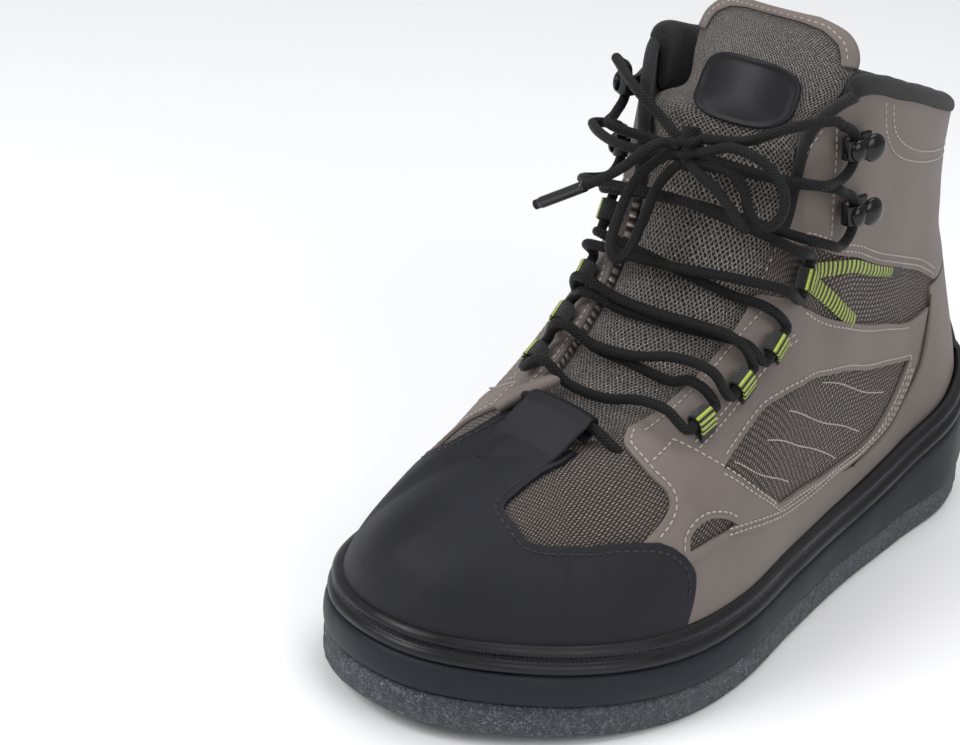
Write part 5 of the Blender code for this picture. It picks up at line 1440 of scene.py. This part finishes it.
# ---- Lace loops and ankle straps
# Short lengths of black webbing with yellow-green bars, folded round the lace and sewn under the
# eyestay, three a side; a fourth one at the ankle is held by a forked strap of the same webbing.
LOOPS = {1: ((0.678, 0.785), (0.637, 0.772), (0.597, 0.740), (0.542, 0.745)),
         -1: ((0.684, 0.865), (0.644, 0.855), (0.608, 0.845), (0.562, 0.835))}
LOOP_BASE = 1.25
LOOP_PATH = ((-4.6, -1.2), (-3.9, 0.9), (-2.9, 3.0), (-1.5, 5.0), (0.2, 6.3), (1.6, 6.6), (3.0, 5.9),
             (3.9, 4.3), (3.4, 2.6), (2.0, 1.5), (0.0, 0.8), (-2.4, 0.0), (-4.0, -1.2))
striped = webbing_finish("loop_webbing", 4.1, 11.5, 1.85)


def place(side, u, v, along=False):
    """Point on the upper with its outward, forward and upward directions; along the throat if set."""
    s = np.array([float(side)])
    a = np.array([u])
    b = np.array([v])
    n = facing(s, a, b)[0]
    up = upper(s, a, b + 0.01)[0] - upper(s, a, b - 0.01)[0]
    up = up - n * (up @ n)
    if along:
        ahead = upper(s, a + 0.015, b)[0] - upper(s, a - 0.015, b)[0]
        ahead = ahead - n * (ahead @ n)
        ahead = ahead / np.linalg.norm(ahead)
        return upper(s, a, b)[0], n, ahead, np.cross(ahead, n) * side
    up = up / np.linalg.norm(up)
    ahead = np.cross(n, up) * side
    return upper(s, a, b)[0], n, ahead, up


def band(name, at, x, y, z, profile, half, material, slot_name, nodes, thick=0.8, round_at=None):
    """Strip bent to a profile in the plane of x and y, lying across z; UV x runs along it in mm."""
    line = through_points([(p[0], p[1], 0.0) for p in profile], 0.45)
    run = np.concatenate([[0.0], np.cumsum(np.linalg.norm(np.diff(line, axis=0), axis=1))])
    last = len(line) - 1

    def where(s, t):
        k = s * last
        px = np.interp(k, range(last + 1), line[:, 0])
        py = np.interp(k, range(last + 1), line[:, 1])
        width = np.full(len(s), half)
        if round_at:
            left = s * run[-1]
            width = half * np.sqrt(np.clip(1 - (1 - np.clip(left / round_at, 0, 1)) ** 2, 0.02, 1))
        return at + np.outer(px, x) + np.outer(py, y) + np.outer((2 * t - 1) * width, z)
    bm = mapped(last, 8, where, 0.01)
    scaled_uv(bm, run[-1], 2 * half)
    bmesh.ops.recalc_face_normals(bm, faces=bm.faces)
    thing = piece(name, bm, material, slot_name, *nodes)
    walled(thing, thick, 0.0, thick * 0.3)


for side, word in ((1, "outer"), (-1, "inner")):
    for (u, v), name in zip(LOOPS[side], ("loop_low", "loop_mid", "loop_high", "ankle_loop")):
        p, n, ahead, up = place(side, u, v, True)
        band("webbing_" + name + "_" + word, p + n * LOOP_BASE, up, n, ahead, LOOP_PATH, 3.5, striped,
             "webbing", (name + "_" + word,), 0.9)

STRAP_UPPER = ((0.540, 0.735), (0.520, 0.690), (0.483, 0.648), (0.442, 0.630), (0.405, 0.622),
               (0.370, 0.612))
STRAP_LOWER = ((0.530, 0.705), (0.506, 0.635), (0.484, 0.578), (0.467, 0.533), (0.450, 0.500))
upper_webbing = webbing_finish("strap_webbing_upper", 1.0, 60.0, 1.9)
for side, word in ((1, "outer"), (-1, "inner")):
    for part, line, nodes in (("upper", STRAP_UPPER, ("ankle_strap_" + word,)), ("lower", STRAP_LOWER, ())):
        line = smooth(line if side > 0 else flipped(line), 8, False)
        ribbon("ankle_strap_" + part + "_" + word, line, 3.1 if part == "upper" else 2.9,
               0.35 if part == "upper" else 0.2, 1.0, upper_webbing, "webbing", nodes,
               0.30 if part == "upper" else 0.75)

# ---- Hooks
# Glossy black speed hooks, two a side: a riveted foot on the ankle flap, a tight bend towards the
# throat that takes the lace, and an open end turned back under a domed head and a bead.
HOOKS = ((0.468, 0.775), (0.468, 0.915))
HOOK_PATH = ((-6.8, 7.0), (-4.0, 6.9), (-1.0, 6.8), (2.2, 6.7), (4.6, 5.9), (5.8, 3.9), (4.8, 1.9),
             (2.4, 0.95), (-1.0, 0.8), (-5.0, 0.8), (-7.0, 0.8))
hook_plastic, tree, shader = finish("hook_plastic", 0.16, coat=0.12, specular=0.3)
spot = node(tree, "ShaderNodeTexCoord").outputs["Object"]
wear = node(tree, "ShaderNodeTexNoise", {"Vector": spot, "Scale": 260.0, "Detail": 4.0}).outputs["Fac"]
shader.inputs["Base Color"].default_value = rgb(0.004, 0.004, 0.005)
tree.links.new(ramp(tree, wear, 0.4, 0.7, 0.12, 0.24), shader.inputs["Roughness"])
for side, word in ((1, "outer"), (-1, "inner")):
    for (u, v), name in zip(HOOKS, ("hook_low", "hook_high")):
        p, n, ahead, up = place(side, u, v)
        band("moulded_" + name + "_" + word, p + n * 2.1, ahead, n, up, HOOK_PATH, 3.3, hook_plastic,
             "hook_plastic", (name + "_" + word,), 1.5, 5.2)
        rivet = bmesh.new()
        spin = Matrix((Vector(ahead), Vector(up), Vector(ahead).cross(Vector(up)))).transposed().to_4x4()
        for height, back, wide, long, deep in ((7.3, 3.2, 4.7, 4.7, 2.1), (7.2, -2.9, 3.3, 3.6, 1.7),
                                               (0.9, 3.6, 3.6, 3.6, 1.0)):
            bmesh.ops.create_uvsphere(rivet, u_segments=28, v_segments=14, radius=1.0,
                                      matrix=Matrix.Translation(
                Vector(p + n * (2.1 + height - 0.2) - ahead * back)
                * MM) @ spin @ Matrix.Diagonal((wide * MM, long * MM, deep * MM, 1.0)))
        piece("rivet_" + name + "_" + word, rivet, hook_plastic, "hook_plastic")

# ---- Drain eyelets
# Two gunmetal eyelets low on the inner side let water out; black net shows in their holes.
gunmetal, tree, shader = finish("gunmetal", 0.34)
shader.inputs["Metallic"].default_value = 1.0
spot = node(tree, "ShaderNodeTexCoord").outputs["Object"]
wear = node(tree, "ShaderNodeTexNoise", {"Vector": spot, "Scale": 700.0, "Detail": 3.0}).outputs["Fac"]
shader.inputs["Base Color"].default_value = rgb(0.17, 0.17, 0.18)
tree.links.new(ramp(tree, wear, 0.3, 0.7, 0.26, 0.44), shader.inputs["Roughness"])
RING = ((4.3, 1.2), (4.3, 1.7), (4.0, 2.05), (3.4, 2.25), (2.8, 2.1), (2.45, 1.7), (2.4, 1.1))
for number, (u, v) in enumerate(((0.505, 0.165), (0.540, 0.165))):
    p, n, ahead, up = place(-1, u, v)

    def ring_where(x, y):
        k = y * (len(RING) - 1)
        r = np.interp(k, range(len(RING)), column(RING, 0))
        h = np.interp(k, range(len(RING)), column(RING, 1))
        t = x * 2 * np.pi
        return p + np.outer(r * np.cos(t), ahead) + np.outer(r * np.sin(t), up) + np.outer(h, n)
    bm = mapped(40, 12, ring_where)
    bmesh.ops.recalc_face_normals(bm, faces=bm.faces)
    thing = piece("eyelet_ring_%d" % (number + 1), bm, gunmetal, "eyelet_metal",
                  "drain_eyelet_%d" % (number + 1))
    flip_out(thing, p + n * 30)
    bm = mapped(24, 2, lambda x, y: p + np.outer(2.6 * (1 - y) * np.cos(x * 2 * np.pi), ahead)
                + np.outer(2.6 * (1 - y) * np.sin(x * 2 * np.pi), up) + np.outer(1.35 + 0 * x, n))
    thing = piece("eyelet_net_%d" % (number + 1), bm, cuff_cloth, "cuff_cloth")
    flip_out(thing, p + n * 30)

# ---- Laces
# One round black braided lace a boot, crossing from side to side through the loops and the hooks,
# tied in a bow; its loops and ends hang free over the tongue, and the inner end has its tip.
LACE = 1.7
RUN_OUT = ((32.1, -176.0, 87.9), (32.6, -172.3, 89.2), (33.4, -166.7, 91.2), (34.0, -163.0, 92.5),
           (27.0, -165.4, 98.9), (15.9, -162.4, 94.9), (1.6, -161.5, 95.9), (-12.8, -160.3, 96.4),
           (-23.6, -162.3, 101.6), (-31.0, -158.5, 96.6), (-31.2, -155.0, 98.5), (-31.5, -149.7, 101.4),
           (-31.8, -146.2, 103.3), (-24.8, -149.7, 108.9), (-12.6, -146.9, 105.6), (3.3, -146.7, 106.1),
           (19.9, -146.3, 106.9), (32.8, -146.1, 107.6), (37.9, -141.0, 101.2), (38.0, -138.0, 103.7),
           (38.2, -133.3, 107.5), (38.3, -130.2, 110.1), (33.7, -135.3, 116.6), (19.3, -134.1, 116.5),
           (1.3, -135.1, 119.3), (-17.0, -132.9, 120.7), (-32.2, -132.6, 122.5), (-36.2, -125.1, 119.9),
           (-36.4, -123.0, 123.2), (-36.9, -119.7, 128.3), (-37.1, -117.6, 131.6), (-35.3, -126.6, 135.3),
           (-17.2, -126.3, 137.8), (3.9, -126.3, 139.5), (30.3, -127.0, 139.4), (42.5, -116.5, 135.2),
           (42.9, -108.5, 132.8), (43.1, -102.7, 137.3), (42.4, -103.0, 146.8), (41.6, -109.3, 150.7),
           (40.8, -113.8, 153.0), (20.3, -119.2, 152.6), (-1.1, -121.6, 153.7), (-22.6, -119.8, 153.8),
           (-40.3, -119.1, 154.2), (-44.4, -109.4, 154.4), (-45.0, -103.4, 158.7), (-44.9, -103.7, 168.3),
           (-44.2, -109.8, 172.4))
RUN_IN = ((-29.3, -176.1, 89.9), (-29.4, -172.4, 91.3), (-29.6, -166.7, 93.4), (-29.7, -163.0, 94.8),
          (-22.8, -167.2, 104.2), (-11.6, -164.1, 99.2), (3.2, -163.4, 99.8), (18.9, -165.0, 104.7),
          (31.1, -163.4, 103.5), (35.7, -157.4, 94.0), (35.8, -153.9, 95.9), (36.0, -148.6, 98.6),
          (36.1, -145.0, 100.5), (32.0, -151.0, 110.3), (19.1, -151.3, 111.3), (1.9, -149.4, 109.6),
          (-14.4, -148.2, 109.8), (-27.9, -149.9, 113.6), (-32.7, -142.7, 104.9), (-33.0, -139.6, 107.5),
          (-33.5, -135.1, 111.4), (-33.8, -132.1, 114.0), (-30.9, -140.7, 121.2), (-15.4, -138.5, 120.5),
          (2.9, -138.5, 122.0), (24.6, -138.7, 124.7), (38.0, -133.0, 123.3), (38.2, -122.7, 116.9),
          (38.0, -121.2, 120.6), (37.7, -119.0, 126.2), (37.6, -117.5, 129.9), (38.3, -128.7, 135.6),
          (18.5, -129.5, 138.4), (-4.0, -130.7, 141.0), (-38.0, -129.2, 137.9), (-47.3, -121.4, 134.2),
          (-45.3, -107.8, 132.2), (-45.2, -101.9, 136.6), (-45.5, -102.2, 146.2), (-45.8, -108.4, 150.2),
          (-48.6, -116.2, 151.5), (-29.6, -128.3, 152.3), (-2.8, -125.9, 154.0), (19.3, -124.2, 154.2),
          (38.5, -122.9, 155.9), (40.1, -109.9, 154.6), (41.0, -104.0, 159.0), (40.4, -104.2, 168.6),
          (38.9, -110.3, 172.6))
BAR = ((-21.4, -178.2, 95.5), (-12.1, -176.1, 89.3), (1.4, -176.1, 88.9), (15.0, -177.7, 93.1),
       (25.1, -177.9, 93.1))
LOW_BAR = ((-23.0, -187.0, 85.6), (-19.0, -188.6, 87.0), (-12.0, -190.0, 87.4), (-4.5, -190.6, 86.9),
           (7.0, -191.6, 86.2), (12.0, -192.0, 84.2), (16.0, -191.2, 81.4), (20.0, -189.5, 77.8))
braid_group = tree = group("round_braid")
split = node(tree, "ShaderNodeSeparateXYZ", {0: node(tree, "ShaderNodeTexCoord").outputs["UV"]})
around = calc(tree, "MULTIPLY", split.outputs["X"], 2 * math.pi * 7 / 10.68)
along = calc(tree, "MULTIPLY", split.outputs["Y"], 2 * math.pi / 1.35)
one = calc(tree, "SINE", calc(tree, "ADD", around, along))
two = calc(tree, "SINE", calc(tree, "SUBTRACT", around, along))
node(tree, "NodeGroupOutput", {"Height": calc(tree, "MAXIMUM", one, two)})
lace_braid, tree, shader = finish("lace_braid", 0.55, sheen=0.03, specular=0.22)
braid = node(tree, "ShaderNodeGroup", node_tree=braid_group)
# painted shade: the lace is darker in the grooves of the braid and lighter on its crossings
tree.links.new(mixed(tree, ramp(tree, braid.outputs["Height"], -0.2, 0.9), rgb(0.0008, 0.0008, 0.0010),
                     rgb(0.0058, 0.0058, 0.0068)),
               shader.inputs["Base Color"])
relief(tree, shader, braid.outputs["Height"], 0.00018)

bm = pipe(through_points(RUN_OUT[::-1] + BAR[::-1] + RUN_IN, 1.3), LACE, 10)
joined(bm, pipe(through_points(LOW_BAR, 1.3), LACE, 10))
piece("lace_through_loops", bm, lace_braid, "lace_cord", "lace_crossings")

# a tipped end: hard smooth sleeve round the last of the lace
tip_plastic, tree, shader = finish("tip_plastic", 0.3, coat=0.2)
shader.inputs["Base Color"].default_value = rgb(0.008, 0.008, 0.009)


def strand(name, points, node_name, radius=LACE):
    path = through_points(points, 1.2)
    thing = tube(name, path, radius, lace_braid, "lace_cord", (node_name,), 12)
    return thing


def tie(run, rest):
    """Strand from a top hook to the knot."""
    way = np.array(run[-1]) - np.array(run[-2])
    way = way / np.linalg.norm(way)
    return [np.array(run[-1]) + way * 0.9, np.array(run[-1]) + way * 4] + list(rest)


# the knot: a short wrap round the two strands, with its own turn of lace slanting over it
bm = pipe(through_points(((-2.9, -131.5, 166.5), (-2.3, -132.6, 162.0), (-1.9, -132.8, 157.5),
                          (-1.5, -132.0, 153.5)), 0.8), 3.0, 16)
TURN = []
for k in range(25):
    t = k / 24 * 2 * math.pi * 1.6
    TURN.append((-2.2 + 3.1 * math.cos(t), -132.4 - 3.0 * math.sin(t), 163.6 - 6.4 * k / 24))
joined(bm, pipe(through_points(TURN, 0.9), 1.5, 10))
knot = piece("bow_knot", bm, lace_braid, "lace_cord", "lace_knot")
bm = pipe(through_points(((0.2, -134.8, 155.6), (5.0, -137.7, 154.5), (14.1, -140.5, 151.8),
                          (27.0, -144.0, 143.4)), 1.1), LACE, 12)
end_outer = piece("bow_end_outer", bm, lace_braid, "lace_cord", "lace_end_outer")
strand("bow_tie_outer",
       tie(RUN_IN, ((29.7, -126.8, 173.6), (17.2, -131.0, 167.0), (6.0, -131.5, 164.5),
                    (0.2, -131.8, 163.6))), "lace_tie_outer")
strand("bow_tie_inner",
       tie(RUN_OUT, ((-26.0, -127.0, 171.0), (-15.4, -128.5, 165.2), (-9.0, -131.0, 162.5),
                     (-5.0, -131.6, 161.4))), "lace_tie_inner")
strand("bow_loop_outer", ((0.4, -133.6, 159.2), (5.5, -134.3, 161.2), (14.0, -135.0, 165.0),
                          (25.7, -135.5, 163.6), (33.4, -136.0, 158.4), (36.2, -137.5, 152.2),
                          (34.2, -139.5, 146.2), (29.8, -140.5, 145.2), (24.3, -138.5, 148.1),
                          (20.5, -136.5, 153.6), (14.1, -135.5, 157.3), (6.0, -134.4, 156.4),
                          (0.8, -133.6, 155.2)), "lace_loop_outer")
strand("bow_loop_inner", ((-3.6, -133.6, 154.8), (-7.0, -134.3, 151.6), (-10.3, -136.5, 145.2),
                          (-10.7, -143.5, 134.2), (-9.6, -152.5, 127.5), (-11.7, -155.5, 126.0),
                          (-14.6, -154.5, 129.4), (-17.0, -146.5, 137.8), (-17.0, -140.5, 145.5),
                          (-13.4, -137.0, 151.9), (-8.4, -134.6, 156.6), (-4.2, -133.6, 158.8)),
       "lace_loop_inner")
END_IN = ((-4.4, -134.6, 160.6), (-8.6, -136.1, 161.0), (-12.6, -140.5, 159.0), (-20.4, -142.5, 150.7),
          (-31.0, -143.5, 142.7), (-50.0, -144.5, 130.4))
sleeve = through_points(END_IN, 1.2)[-18:]
tip = tube("lace_tip", sleeve, lambda t: 1.95 if t < 0.93 else 1.5, tip_plastic, "lace_cord", sides=14)
strand("bow_end_inner", END_IN, "lace_end_inner")
